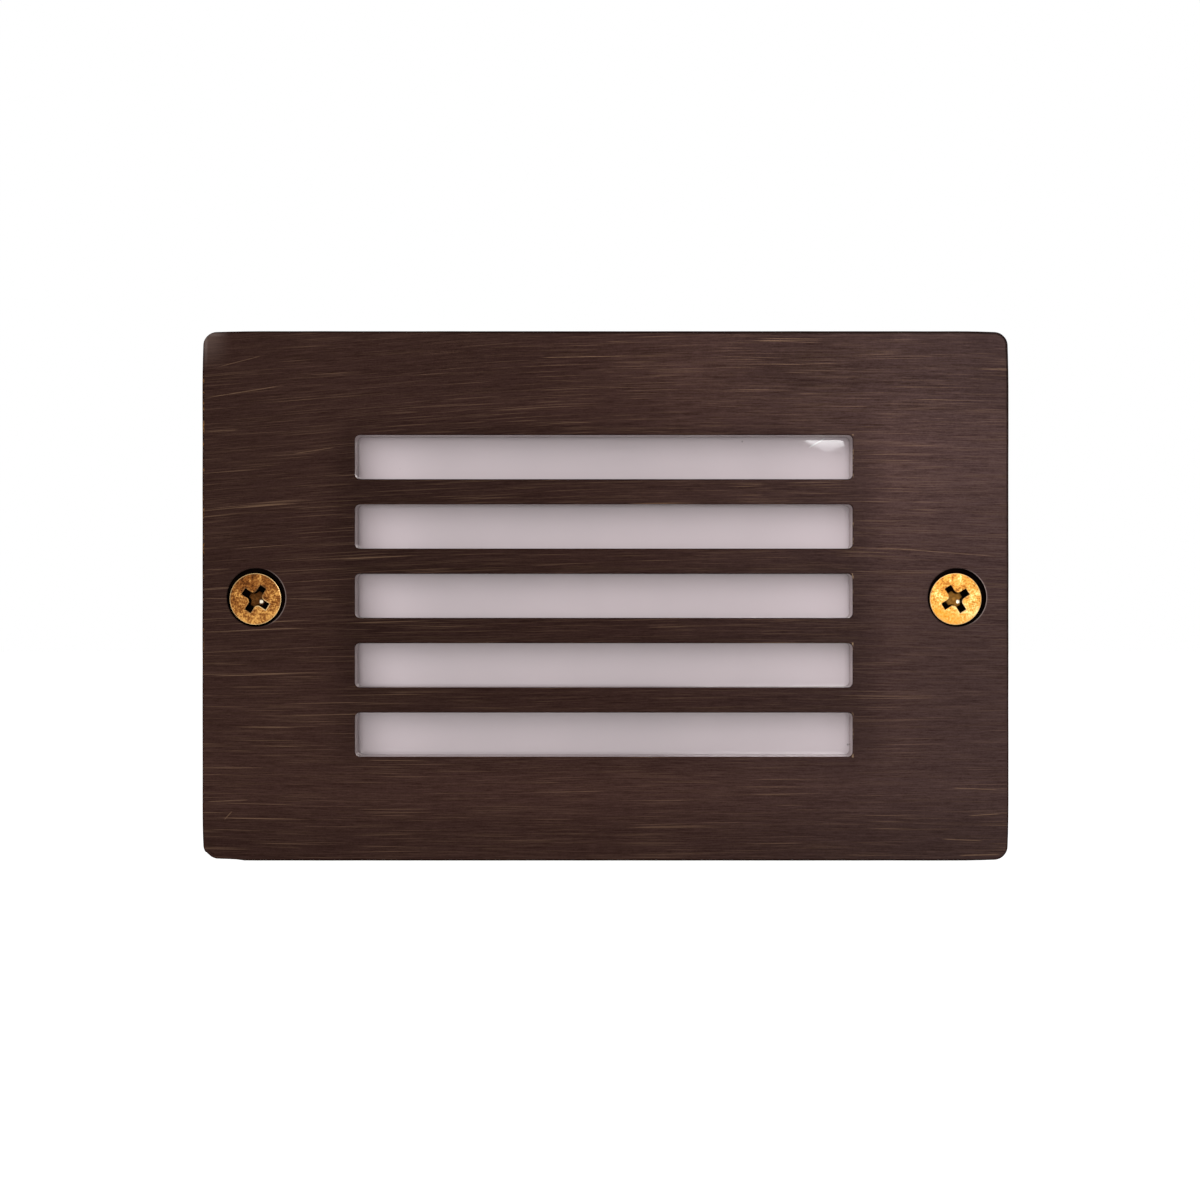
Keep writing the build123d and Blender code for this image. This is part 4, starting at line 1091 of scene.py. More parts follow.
AGED_BRASS = AgedBrass("cover_patina")
SLOT_WALL = SlotWall("slot_wall")
LEFT_SCREW_BRASS = ScrewBrass("left_screw_lacquer", Tone.COPPERY_SHADED, (-50.35, -0.45))
RIGHT_SCREW_BRASS = ScrewBrass("right_screw_lacquer", Tone.GOLDEN_LIT, (50.35, -0.45))
OPAL = OpalAcrylic("opal_sheet")
RUBBER = Rubber("black_rubber")
STAMPED_STEEL = PlainMetal("stamped_steel")
TURNED_BRASS = PlainMetal(
    "turned_brass", ((138, 104, 56), (206, 168, 104)), Grain((2.0, 0.2, 2.0)), 0.3
)
HOUSING_PLASTIC = MouldedPlastic("housing_moulding")
GLAND_PLASTIC = MouldedPlastic("gland_moulding", ((22, 22, 25), (46, 46, 50)), 3.4, 0.42)
TERMINAL_PLASTIC = MouldedPlastic(
    "terminal_moulding", ((188, 184, 168), (220, 217, 204)), 1.6, 0.45
)
PAN_ALUMINIUM = PlainMetal(
    "pan_aluminium", ((196, 198, 201), (232, 233, 235)), Grain((0.06, 1.5, 2.6)), 0.24
)
STEATITE = Steatite("steatite")
SLEEVING = Sleeving("woven_sleeve")
QUARTZ = Quartz("drawn_quartz")
LAMP_WIRE = PlainMetal(
    "nickel_wire", ((110, 108, 104), (176, 172, 166)), Grain((3.0, 3.0, 3.0)), 0.3
)


# ------------------------------------------------------------------ mesh making
class Draft:
    """A mesh in the making, in millimetres."""

    def __init__(self) -> None:
        """Starts an empty mesh."""
        self.mesh = bmesh.new()
        # marks for dirt with painted shade, and for rubbed edges with painted highlights
        self.marks: dict[str, bmesh.types.BMLayerItem] = {
            name: self.mesh.verts.layers.float.new(name) for name in ("grime_and_shade", "polish_and_highlight")
        }

    def ring(
        self,
        points: Iterable[Sequence[float]],
        grime_and_shade: float = 0.0,
        polish_and_highlight: float | Sequence[float] = 0.0,
    ) -> list[bmesh.types.BMVert]:
        """Adds a ring of points with their marks.

        Args:
            points: The places.
            grime_and_shade: How dirty they are, as dirt and painted shade, from 0 to 1.
            polish_and_highlight: How bright they are rubbed, partly as a painted highlight, from 0
                to 1, together or one by one.

        Returns:
            The new vertices.
        """
        verts = [self.mesh.verts.new(point) for point in points]
        shines = polish_and_highlight if isinstance(polish_and_highlight, Sequence) else [polish_and_highlight] * len(verts)
        for vert, shine in zip(verts, shines):
            vert[self.marks["grime_and_shade"]] = grime_and_shade
            vert[self.marks["polish_and_highlight"]] = shine
        return verts

    def bridge(
        self, first: Sequence[bmesh.types.BMVert], second: Sequence[bmesh.types.BMVert]
    ) -> None:
        """Joins two rings of the same count with a band of faces.

        Args:
            first: One ring.
            second: The other.
        """
        count = len(first)
        for index in range(count):
            after = (index + 1) % count
            self.mesh.faces.new((first[index], first[after], second[after], second[index]))

    def close(
        self, ring: Sequence[bmesh.types.BMVert], centre: Sequence[float], grime_and_shade: float = 0.0
    ) -> None:
        """Closes a ring with a fan of faces.

        Args:
            ring: The ring.
            centre: The fan's middle point.
            grime_and_shade: How dirty that point is, as dirt and painted shade, from 0 to 1.
        """
        (middle,) = self.ring([centre], grime_and_shade)
        count = len(ring)
        for index in range(count):
            self.mesh.faces.new((ring[index], ring[(index + 1) % count], middle))

    def lathe(self, rings: Sequence[Sequence[bmesh.types.BMVert]]) -> None:
        """Bridges each ring to the next."""
        for first, second in zip(rings, rings[1:]):
            self.bridge(first, second)

    def mesh_data(self, name: str, crease: float = 32.0) -> bpy.types.Mesh:
        """The finished mesh, scaled to metres.

        Args:
            name: The mesh's name.
            crease: The angle in degrees above which an edge stays sharp.

        Returns:
            The mesh, with its faces pointing outwards.
        """
        bmesh.ops.recalc_face_normals(self.mesh, faces=self.mesh.faces[:])
        for face in self.mesh.faces:
            face.smooth = True
        bmesh.ops.scale(self.mesh, vec=(MILLIMETRE,) * 3, verts=self.mesh.verts[:])
        data = bpy.data.meshes.new(name)
        self.mesh.to_mesh(data)
        self.mesh.free()
        data.set_sharp_from_angle(angle=math.radians(crease))
        return data


def new_object(name: str, data: bpy.types.Mesh) -> bpy.types.Object:
    """Makes an object at the origin and links it into the scene.

    Args:
        name: The object's name.
        data: Its mesh.

    Returns:
        The object.
    """
    made = bpy.data.objects.new(name, data)
    bpy.context.scene.collection.objects.link(made)
    return made


def dress(piece: bpy.types.Object, finish: Finish) -> None:
    """Gives a piece one finish all over."""
    piece.data.materials.clear()
    piece.data.materials.append(finish.material())


def fit(
    piece: bpy.types.Object, body: str, nodes: Sequence[str], finish: Finish
) -> None:
    """Puts a finished piece in place of parts of the frame.

    Args:
        piece: The piece, with its place in its mesh.
        body: The body that it moves with.
        nodes: The frame's nodes that it stands for.
        finish: Its finish.
    """
    dress(piece, finish)
    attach(piece, body)
    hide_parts(*nodes)
    LOG.info("piece %s on %s: %d faces", piece.name, body, len(piece.data.polygons))


def dress_node(node: str, finish: Finish) -> None:
    """Gives one of the frame's own nodes a finish."""
    dress(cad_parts[node], finish)
    LOG.info("node %s: %s", node, finish.name)


def merged_copy(node: str) -> bmesh.types.BMesh:
    """Copies a node's mesh and joins its loose triangles.

    Args:
        node: The frame's node.

    Returns:
        The copy, in metres.
    """
    copy = bmesh.new()
    copy.from_mesh(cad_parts[node].data)
    bmesh.ops.remove_doubles(copy, verts=copy.verts[:], dist=SAME_PLACE)
    return copy


# ------------------------------------------------------------------ geometry trees
class Recipe:
    """A geometry node tree with named inputs, run once on a mesh."""

    def __init__(self, name: str, inputs: Mapping[str, tuple[str, object]]) -> None:
        """Makes the tree and its inputs.

        Args:
            name: The tree's name.
            inputs: Each input's name, with its socket type and value.
        """
        self.tree = bpy.data.node_groups.new(name, "GeometryNodeTree")
        self.graph = Graph(self.tree)
        self.values: dict[str, object] = {}
        sockets = self.tree.interface
        sockets.new_socket("Geometry", in_out="INPUT", socket_type="NodeSocketGeometry")
        for label, (kind, value) in inputs.items():
            socket = sockets.new_socket(label, in_out="INPUT", socket_type=kind)
            self.values[socket.identifier] = value
        sockets.new_socket("Geometry", in_out="OUTPUT", socket_type="NodeSocketGeometry")
        self.source = self.tree.nodes.new("NodeGroupInput")
        self.result = self.tree.nodes.new("NodeGroupOutput")

    def input(self, label: str) -> Signal:
        """One of the tree's inputs."""
        return Signal(self.tree, self.source.outputs[label])

    def end(self, geometry: Signal, finish: Finish) -> None:
        """Realizes the instances, sets their material and ends the tree.

        Args:
            geometry: What the tree has made so far.
            finish: The finish of all of it.
        """
        real = self.graph.add("GeometryNodeRealizeInstances", None, {0: geometry})
        dressed = self.graph.add(
            "GeometryNodeSetMaterial", None, {"Geometry": real, "Material": finish.material()}
        )
        feed(self.tree, self.result.inputs[0], dressed)

    def run(self, name: str, host: bpy.types.Mesh) -> bpy.types.Object:
        """Runs the tree on a mesh.

        Args:
            name: The new object's name.
            host: The mesh that the tree starts from.

        Returns:
            An object with a plain mesh and no modifier.
        """
        carrier = new_object(name + "_host", host)
        modifier = carrier.modifiers.new("recipe", "NODES")
        modifier.node_group = self.tree
        for identifier, value in self.values.items():
            modifier[identifier] = value
        graph = bpy.context.evaluated_depsgraph_get()
        data = bpy.data.meshes.new_from_object(carrier.evaluated_get(graph), depsgraph=graph)
        data.name = name
        carrier.modifiers.remove(modifier)
        bpy.data.objects.remove(carrier)
        return new_object(name, data)


@dataclass(frozen=True)
class Thread:
    """A helical thread on a shank that runs into the wall."""

    crest: float
    root: float
    pitch: float
    start: float
    length: float
    centre: tuple[float, float]
    lead_in: float = 0.6
    sides: int = 40
    steps_per_turn: int = 8
    groove: float = 0.12
    steepness: float = 1.4

    def add_to(self, name: str, host: bpy.types.Mesh, finish: Finish) -> bpy.types.Object:
        """Joins the thread to a mesh.

        Args:
            name: The new object's name.
            host: The mesh that carries it.
            finish: The finish of both.

        Returns:
            The joined object.
        """
        sizes = {
            "Crest": self.crest,
            "Root": self.root,
            "Pitch": self.pitch,
            "Start": self.start,
            "Length": self.length,
            "Lead In": self.lead_in,
            "Centre X": self.centre[0],
            "Centre Z": self.centre[1],
        }
        inputs = {label: ("NodeSocketFloat", size * MILLIMETRE) for label, size in sizes.items()}
        recipe = Recipe(f"{name}_thread", inputs)
        graph = recipe.graph
        crest, root, pitch, start, length, lead, centre_x, centre_z = map(recipe.input, sizes)
        steps = self.steps_per_turn * self.length / self.pitch
        cylinder = {
            "Vertices": self.sides,
            "Side Segments": max(self.steps_per_turn, round(steps)),
            "Radius": root,
            "Depth": length,
        }
        tube = graph.add("GeometryNodeMeshCylinder", None, cylinder)
        x, y, z = graph.split(graph.add("GeometryNodeInputPosition"))
        share = ((x * x + y * y) ** 0.5) / root
        height = z + length * 0.5
        turn = y.apply("ARCTAN2", x) / FULL_TURN
        wave = (height / pitch - turn).apply("PINGPONG", 0.5) * 2.0
        flank = ((wave - self.groove) * self.steepness).clamped()
        fade = (height / lead).least((length - height) / lead).clamped()
        radius = share * (root + (crest - root) * flank * fade)
        angle = turn * FULL_TURN
        place = graph.vector(
            angle.apply("COSINE") * radius + centre_x,
            height + start,
            angle.apply("SINE") * radius * -1.0 + centre_z,
        )
        cut = graph.add("GeometryNodeSetPosition", None, {"Geometry": tube, "Position": place})
        smooth = graph.add("GeometryNodeSetShadeSmooth", None, {"Geometry": cut})
        joined = self.join(graph, (recipe.input("Geometry"), smooth))
        recipe.end(joined, finish)
        return recipe.run(name, host)

    @staticmethod
    def join(graph: Graph, parts: Sequence[Signal]) -> Signal:
        """Joins geometries into one.

        Args:
            graph: The tree's graph.
            parts: The geometries, in order.

        Returns:
            The joined geometry.
        """
        node = graph.tree.nodes.new("GeometryNodeJoinGeometry")
        for part in reversed(parts):
            graph.tree.links.new(part.socket, node.inputs[0])
        return Signal(graph.tree, node.outputs[0])


@dataclass(frozen=True)
class CrossRecess:
    """A cross recess whose inner corners are round."""

    tip: float = 2.08
    half_width: float = 0.52
    corner_reach: float = 1.58
    depth: float = 1.9

    def angles(self, steps: int = 5) -> list[float]:
        """Angles for a ring, with the wings' corners among them.

        Args:
            steps: How many parts each round corner's half is divided into.

        Returns:
            The angles all the way round, in radians.
        """
        square = math.atan2(self.half_width, self.tip)
        tangent = math.atan2(self.half_width, self.corner_reach * math.sqrt(0.5))
        quarter = math.pi / 4
        half = [0.0, square * 0.5, square, (square + tangent) / 2]
        half += [tangent + (quarter - tangent) * step / steps for step in range(steps + 1)]
        full = half + [2 * quarter - angle for angle in reversed(half[1:-1])]
        return [quadrant * math.pi / 2 + angle for quadrant in range(4) for angle in full]

    def reach(self, angle: float, tip: float, half_width: float) -> float:
        """How far the outline lies from the middle at an angle.

        Args:
            angle: The angle from a wing, in radians.
            tip: The wings' reach.
            half_width: Half of their width.

        Returns:
            The distance to the outline.
        """
        folded = angle % (math.pi / 2)
        folded = min(folded, math.pi / 2 - folded)
        end = tip / math.cos(folded)
        middle = self.corner_reach * math.sqrt(0.5)
        if folded < 1e-9:
            return end
        side = half_width / math.sin(folded)
        if side * math.cos(folded) < middle:
            off = self.corner_reach * math.sin(math.pi / 4 - folded)
            inner = (middle - half_width) ** 2 - off**2
            side = self.corner_reach * math.cos(math.pi / 4 - folded) - math.sqrt(max(inner, 0.0))
        return min(end, side)

    def scaled(self, factor: float) -> CrossRecess:
        """The same recess for a smaller screw."""
        sizes = (self.tip, self.half_width, self.corner_reach, self.depth)
        return CrossRecess(*(size * factor for size in sizes))


@dataclass(frozen=True)
class Step:
    """One ring of a cross recess on its way down, as shares of the recess's sizes."""

    tip: float
    width: float
    drop: float
    grime_and_shade: float = 1.0
    polish_and_highlight: float = 0.0
    margin: float = 0.0


# the recess's walls and floor carry dirt and painted shade; the rings at its lip carry a painted
# highlight
RECESS_STEPS = (
    Step(1.0, 1.0, 0.0, grime_and_shade=0.0, margin=0.17),
    Step(1.0, 1.0, 0.0, grime_and_shade=0.0, polish_and_highlight=1.0, margin=0.09),
    Step(1.0, 1.0, 0.03, grime_and_shade=0.0, polish_and_highlight=1.0),
    Step(0.995, 0.99, 0.08),
    Step(0.93, 0.94, 0.45),
    Step(0.62, 0.78, 0.72),
    Step(0.54, 0.70, 0.75, grime_and_shade=0.56),
    Step(0.34, 0.40, 0.78, grime_and_shade=0.48),
    Step(0.16, 0.20, 0.80, grime_and_shade=0.54),
)
RECESS_FLOOR = Step(0.0, 0.0, 0.81, grime_and_shade=0.4)
GLINT_FLOOR = 0.1


def glint(angle: float) -> float:
    """Painted highlight: how much of a rubbed edge shines, most of all towards the lower right."""
    return GLINT_FLOOR + (1 - GLINT_FLOOR) * max(0.0, math.cos(angle + math.pi / 4)) ** 2


def head_rings(
    draft: Draft,
    profile: Sequence[tuple[float, float, float]],
    recess: CrossRecess,
    lip: float,
    place: Callable[[float, float, float], Sequence[float]],
    turn: float,
) -> list[list[bmesh.types.BMVert]]:
    """Builds a screw head from its outside to the floor of its recess.

    Args:
        draft: The mesh in the making.
        profile: Radius, height and brightness of each outer ring, rubbed and partly a painted
            highlight, from the underside up.
        recess: The cross recess.
        lip: Height of the top round the recess.
        place: Turns radius, angle and height into a point.
        turn: How far the recess is turned, in radians.

    Returns:
        The rings, from the underside to the recess's floor.
    """
    angles = recess.angles()
    rings = [
        draft.ring([place(radius, angle + turn, height) for angle in angles], 0.0, polish_and_highlight)
        for radius, height, polish_and_highlight in profile
    ]
    for step in RECESS_STEPS:
        tip = recess.tip * step.tip + step.margin
        width = recess.half_width * step.width + step.margin
        height = lip - step.drop * recess.depth
        points = [place(recess.reach(angle, tip, width), angle + turn, height) for angle in angles]
        # painted highlight on the recess's lip, brightest towards the lower right
        shine = [step.polish_and_highlight * glint(angle + turn) for angle in angles]
        rings.append(draft.ring(points, step.grime_and_shade, shine))
    draft.lathe(rings)
    floor = place(0.0, 0.0, lip - RECESS_FLOOR.drop * recess.depth)
    draft.close(rings[-1], floor, RECESS_FLOOR.grime_and_shade)
    return rings


@dataclass(frozen=True)
class PanScrew:
    """A small pan-head screw with a cross recess."""

    head_radius: float
    head_height: float
    shank_radius: float
    length: float
    shoulder: float = 0.5
    tip_radius: float = 0.7
    tip_slope: float = 0.4
    recess_scale: float = 0.52 / 2.05
    dome_steps: tuple[float, ...] = (0.0, 0.35, 0.7, 1.0)
    dome_rise: float = 0.98
    dome_polish: float = 0.3
    crease: float = 35.0
    seed: int = 7

    def prototype(self) -> bpy.types.Mesh:
        """Makes one screw, with its head upwards.

        Returns:
            The mesh, with the head's underside at the origin.
        """
        draft = Draft()
        top = self.head_height
        recess = CrossRecess().scaled(self.recess_scale * self.head_radius)

        def place(radius: float, angle: float, height: float) -> tuple[float, float, float]:
            """A point on the screw."""
            return (radius * math.cos(angle), radius * math.sin(angle), height)

        profile = [
            (self.shank_radius * self.tip_radius, -self.length, 0.0),
            (self.shank_radius, -self.length + self.tip_slope * self.shank_radius, 0.0),
            (self.shank_radius, 0.0, 0.0),
            (self.head_radius, 0.0, 0.0),
        ]
        bulge = top * (1 - self.shoulder)
        for share in self.dome_steps:
            angle = share * math.pi / 2
            radius = self.head_radius - bulge * (1 - math.cos(angle))
            height = top * self.shoulder + bulge * math.sin(angle) * self.dome_rise
            profile.append((radius, height, self.dome_polish))
        rings = head_rings(draft, profile, recess, top, place, 0.0)
        draft.close(rings[0], (0.0, 0.0, -self.length))
        return draft.mesh_data("pan_screw", self.crease)

    def place(
        self,
        name: str,
        places: Sequence[Sequence[float]],
        rotation: tuple[float, float, float],
        finish: Finish,
    ) -> bpy.types.Object:
        """Sets the screw at each place.

        Args:
            name: The piece's name.
            places: The undersides of the heads.
            rotation: How the screw is turned from its upright make.
            finish: Its finish.

        Returns:
            One object with all the screws.
        """
        pattern = new_object(name + "_pattern", self.prototype())
        recipe = Recipe(
            f"{name}_tree",
            {
                "Screw": ("NodeSocketObject", pattern),
                "Rotation": ("NodeSocketVector", rotation),
                "Seed": ("NodeSocketInt", self.seed),
            },
        )
        graph = recipe.graph
        points = graph.add("GeometryNodeMeshToPoints", None, {"Mesh": recipe.input("Geometry")})
        shape = graph.add(
            "GeometryNodeObjectInfo",
            {"transform_space": "ORIGINAL"},
            {"Object": recipe.input("Screw")},
            "Geometry",
        )
        spin = graph.add(
            "FunctionNodeRandomValue",
            {"data_type": "FLOAT"},
            {2: 0.0, 3: FULL_TURN, "Seed": recipe.input("Seed")},
            1,
        )
        set_at = graph.add(
            "GeometryNodeInstanceOnPoints",
            None,
            {"Points": points, "Instance": shape, "Rotation": recipe.input("Rotation")},
        )
        spun = graph.add(
            "GeometryNodeRotateInstances",
            None,
            {"Instances": set_at, "Rotation": graph.vector(0.0, 0.0, spin)},
        )
        recipe.end(spun, finish)
        host = bpy.data.meshes.new(name + "_points")
        host.from_pydata([Vector(point) * MILLIMETRE for point in places], [], [])
        piece = recipe.run(name, host)
        bpy.data.objects.remove(pattern)
        return piece


# ------------------------------------------------------------------ sub-assemblies
@dataclass
class CoverPlate:
    """The cast brass cover, with the uneven edges that hand grinding leaves."""

    half_width: float = 58.0
    half_height: float = 38.1
    edge_band: float = 1.1
    longest_edge: float = 1.2
    most_cuts: int = 8
    waviness: float = 0.03
    waves: float = 0.16
    wave_seed: float = 3.0
    nick_end: float = -52.5
    nick_fade: float = 0.6
    nick_depth: float = 0.16
    blunt: float = 0.28
    blunt_reach: float = 2.2
    crease: float = 40.0
    flat_limit: float = 0.9995
    slot_walls: Span = (-6.9, -3.05)
    slot_reach: Span = (36.5, 24.0)
    upright_limit: float = 0.3

    def build(self) -> None:
        """Builds the cover and puts it in place of its node."""
        mesh = merged_copy("face_plate")
        bmesh.ops.scale(mesh, vec=(1 / MILLIMETRE,) * 3, verts=mesh.verts[:])
        self.refine(mesh)
        for vert in mesh.verts:
            vert.co += self.grinding(vert.co)
        bmesh.ops.triangulate(mesh, faces=mesh.faces[:])
        bmesh.ops.scale(mesh, vec=(MILLIMETRE,) * 3, verts=mesh.verts[:])
        data = bpy.data.meshes.new("cover_plate")
        mesh.to_mesh(data)
        mesh.free()
        data.set_sharp_from_angle(angle=math.radians(self.crease))
        for face in data.polygons:
            face.use_smooth = max(abs(part) for part in face.normal) < self.flat_limit
        piece = new_object("cover_plate", data)
        fit(piece, "cover", ["face_plate"], AGED_BRASS)
        data.materials.append(SLOT_WALL.material())
        for face in data.polygons:
            face.material_index = int(self.on_slot_wall(face))

    def on_slot_wall(self, face: bpy.types.MeshPolygon) -> bool:
        """Tells the slots' walls from the rest of the cover.

        Args:
            face: A face of the cover.

        Returns:
            Whether it lies on a slot's wall.
        """
        middle = face.center / MILLIMETRE
        front, back = self.slot_walls
        upright = abs(face.normal.y) < self.upright_limit
        inside = abs(middle.x) < self.slot_reach[0] and abs(middle.z) < self.slot_reach[1]
        return upright and inside and front < middle.y < back

    def rim(self, point: Vector) -> float:
        """How far a point lies inside the outline."""
        return min(self.half_width - abs(point.x), self.half_height - abs(point.z))

    def refine(self, mesh: bmesh.types.BMesh) -> None:
        """Divides the long edges along the outline, so that they can wander.

        Args:
            mesh: The cover's mesh, in millimetres.
        """
        for _ in range(self.most_cuts):
            long_edges = [
                edge
                for edge in mesh.edges
                if edge.calc_length() > self.longest_edge
                and all(self.rim(vert.co) < self.edge_band for vert in edge.verts)
            ]
            if not long_edges:
                return
            bmesh.ops.subdivide_edges(mesh, edges=long_edges, cuts=1)

    def grinding(self, point: Vector) -> Vector:
        """How far a point of the outline is ground away.

        Args:
            point: The point, in millimetres.

        Returns:
            The move, always towards the middle.
        """
        if self.rim(point) > self.edge_band:
            return Vector()
        seed = Vector((point.x * self.waves, self.wave_seed, point.z * self.waves))
        wander = 0.5 + 0.5 * noise.noise(seed)
        move = Vector()
        if self.half_width - abs(point.x) < self.edge_band:
            move.x -= math.copysign(self.waviness * wander, point.x)
        if self.half_height - abs(point.z) < self.edge_band:
            move.z -= math.copysign(self.waviness * wander, point.z)
            if point.z < 0 and point.x < self.nick_end:
                move.z += self.nick_depth * min(1.0, (self.nick_end - point.x) / self.nick_fade)
        corner = Vector((point.x + self.half_width, 0.0, point.z + self.half_height))
        if corner.length < self.blunt_reach:
            inward = Vector((1, 0, 1)).normalized()
            move += inward * self.blunt * (1 - corner.length / self.blunt_reach)
        return move


@dataclass
class LensStack:
    """The opal lens with its seal, clips and clip screws, and the seal round the cover."""

    shift: float = -0.25
    reach: float = 40.45
    rise: float = 17.0
    underside: float = 1.3
    screws: PanScrew = PanScrew(head_radius=2.2, head_height=1.5, shank_radius=1.25, length=4.7)

    def build(self) -> None:
        """Dresses the stack's nodes and builds the clip screws."""
        dress_node("lens", OPAL)
        for seal in ("lens_seal", "cover_seal"):
            dress_node(seal, RUBBER)
        for level in ("upper", "lower"):
            for side in ("left", "right"):
                dress_node(f"lens_clip_{level}_{side}", STAMPED_STEEL)
        places = [
            (self.shift + side * self.reach, self.underside, level * self.rise)
            for side in (-1, 1)
            for level in (-1, 1)
        ]
        piece = self.screws.place("clip_screw_set", places, (-math.pi / 2, 0.0, 0.0), STAMPED_STEEL)
        fit(piece, "cover", ["lens_clip_screws"], STAMPED_STEEL)


@dataclass
class FaceScrews:
    """The two countersunk brass screws of the cover, with their seal rings.

    An edge ring is its inset, height and brightness, which is partly a painted highlight. Turns are
    the recesses' angles, left and right.
    """

    reach: float = 50.35
    drop: float = -0.45
    top: float = -6.75
    head_radius: float = 3.725
    land: float = 0.15
    edge: tuple[tuple[float, float, float], ...] = (
        (0.0, -0.15, 0.1),
        (0.0, -0.07, 0.3),
        (0.03, -0.02, 1.0),
        (0.08, 0.0, 0.75),
        (0.14, 0.004, 0.0),
    )
    flat_radius: float = 2.6
    lip: float = 0.006
    crease: float = 30.0
    shank_radius: float = 2.08
    neck_taper: Span = (0.3, 0.25)
    thread_root: float = 1.66
    thread_start: float = -3.4
    tip: float = 9.25
    pitch: float = 0.79375
    turns: tuple[float, float] = (57.0, 32.0)

    def build(self) -> None:
        """Builds both screws and dresses their rings and inserts."""
        for side, sign, finish, turn in (
            ("left", -1, LEFT_SCREW_BRASS, self.turns[0]),
            ("right", 1, RIGHT_SCREW_BRASS, self.turns[1]),
        ):
            centre = (sign * self.reach, self.drop)
            host = self.head(centre, math.radians(turn))
            thread = Thread(
                self.shank_radius,
                self.thread_root,
                self.pitch,
                self.thread_start,
                self.tip - self.thread_start,
                centre,
            )
            piece = thread.add_to(f"{side}_screw", host, finish)
            fit(piece, f"{side}_screw", [f"{side}_face_screw"], finish)
            dress_node(f"{side}_screw_seal", RUBBER)
            dress_node(f"{side}_insert", TURNED_BRASS)

    def head(self, centre: tuple[float, float], turn: float) -> bpy.types.Mesh:
        """One screw's head and plain neck.

        Args:
            centre: X and Z of the screw's axis.
            turn: How far its recess is turned, in radians.

        Returns:
            The mesh.
        """
        draft = Draft()

        def place(radius: float, angle: float, height: float) -> tuple[float, float, float]:
            """A point on the screw, whose height runs out of the wall."""
            return (
                centre[0] + radius * math.cos(angle),
                self.top - height,
                centre[1] + radius * math.sin(angle),
            )

        cone = self.head_radius - self.shank_radius
        neck_end = self.top - self.thread_start
        inside, outside = self.neck_taper
        profile = [
            (self.thread_root, neck_end - inside, 0.0),
            (self.shank_radius, neck_end + outside, 0.0),
            (self.shank_radius, -self.land - cone, 0.0),
        ]
        profile += [(self.head_radius - inset, *rest) for inset, *rest in self.edge]
        profile.append((self.flat_radius, self.lip, 0.0))
        rings = head_rings(draft, profile, CrossRecess(), self.lip, place, turn)
        draft.close(rings[0], place(0.0, 0.0, neck_end - inside))
        return draft.mesh_data("screw_head", self.crease)


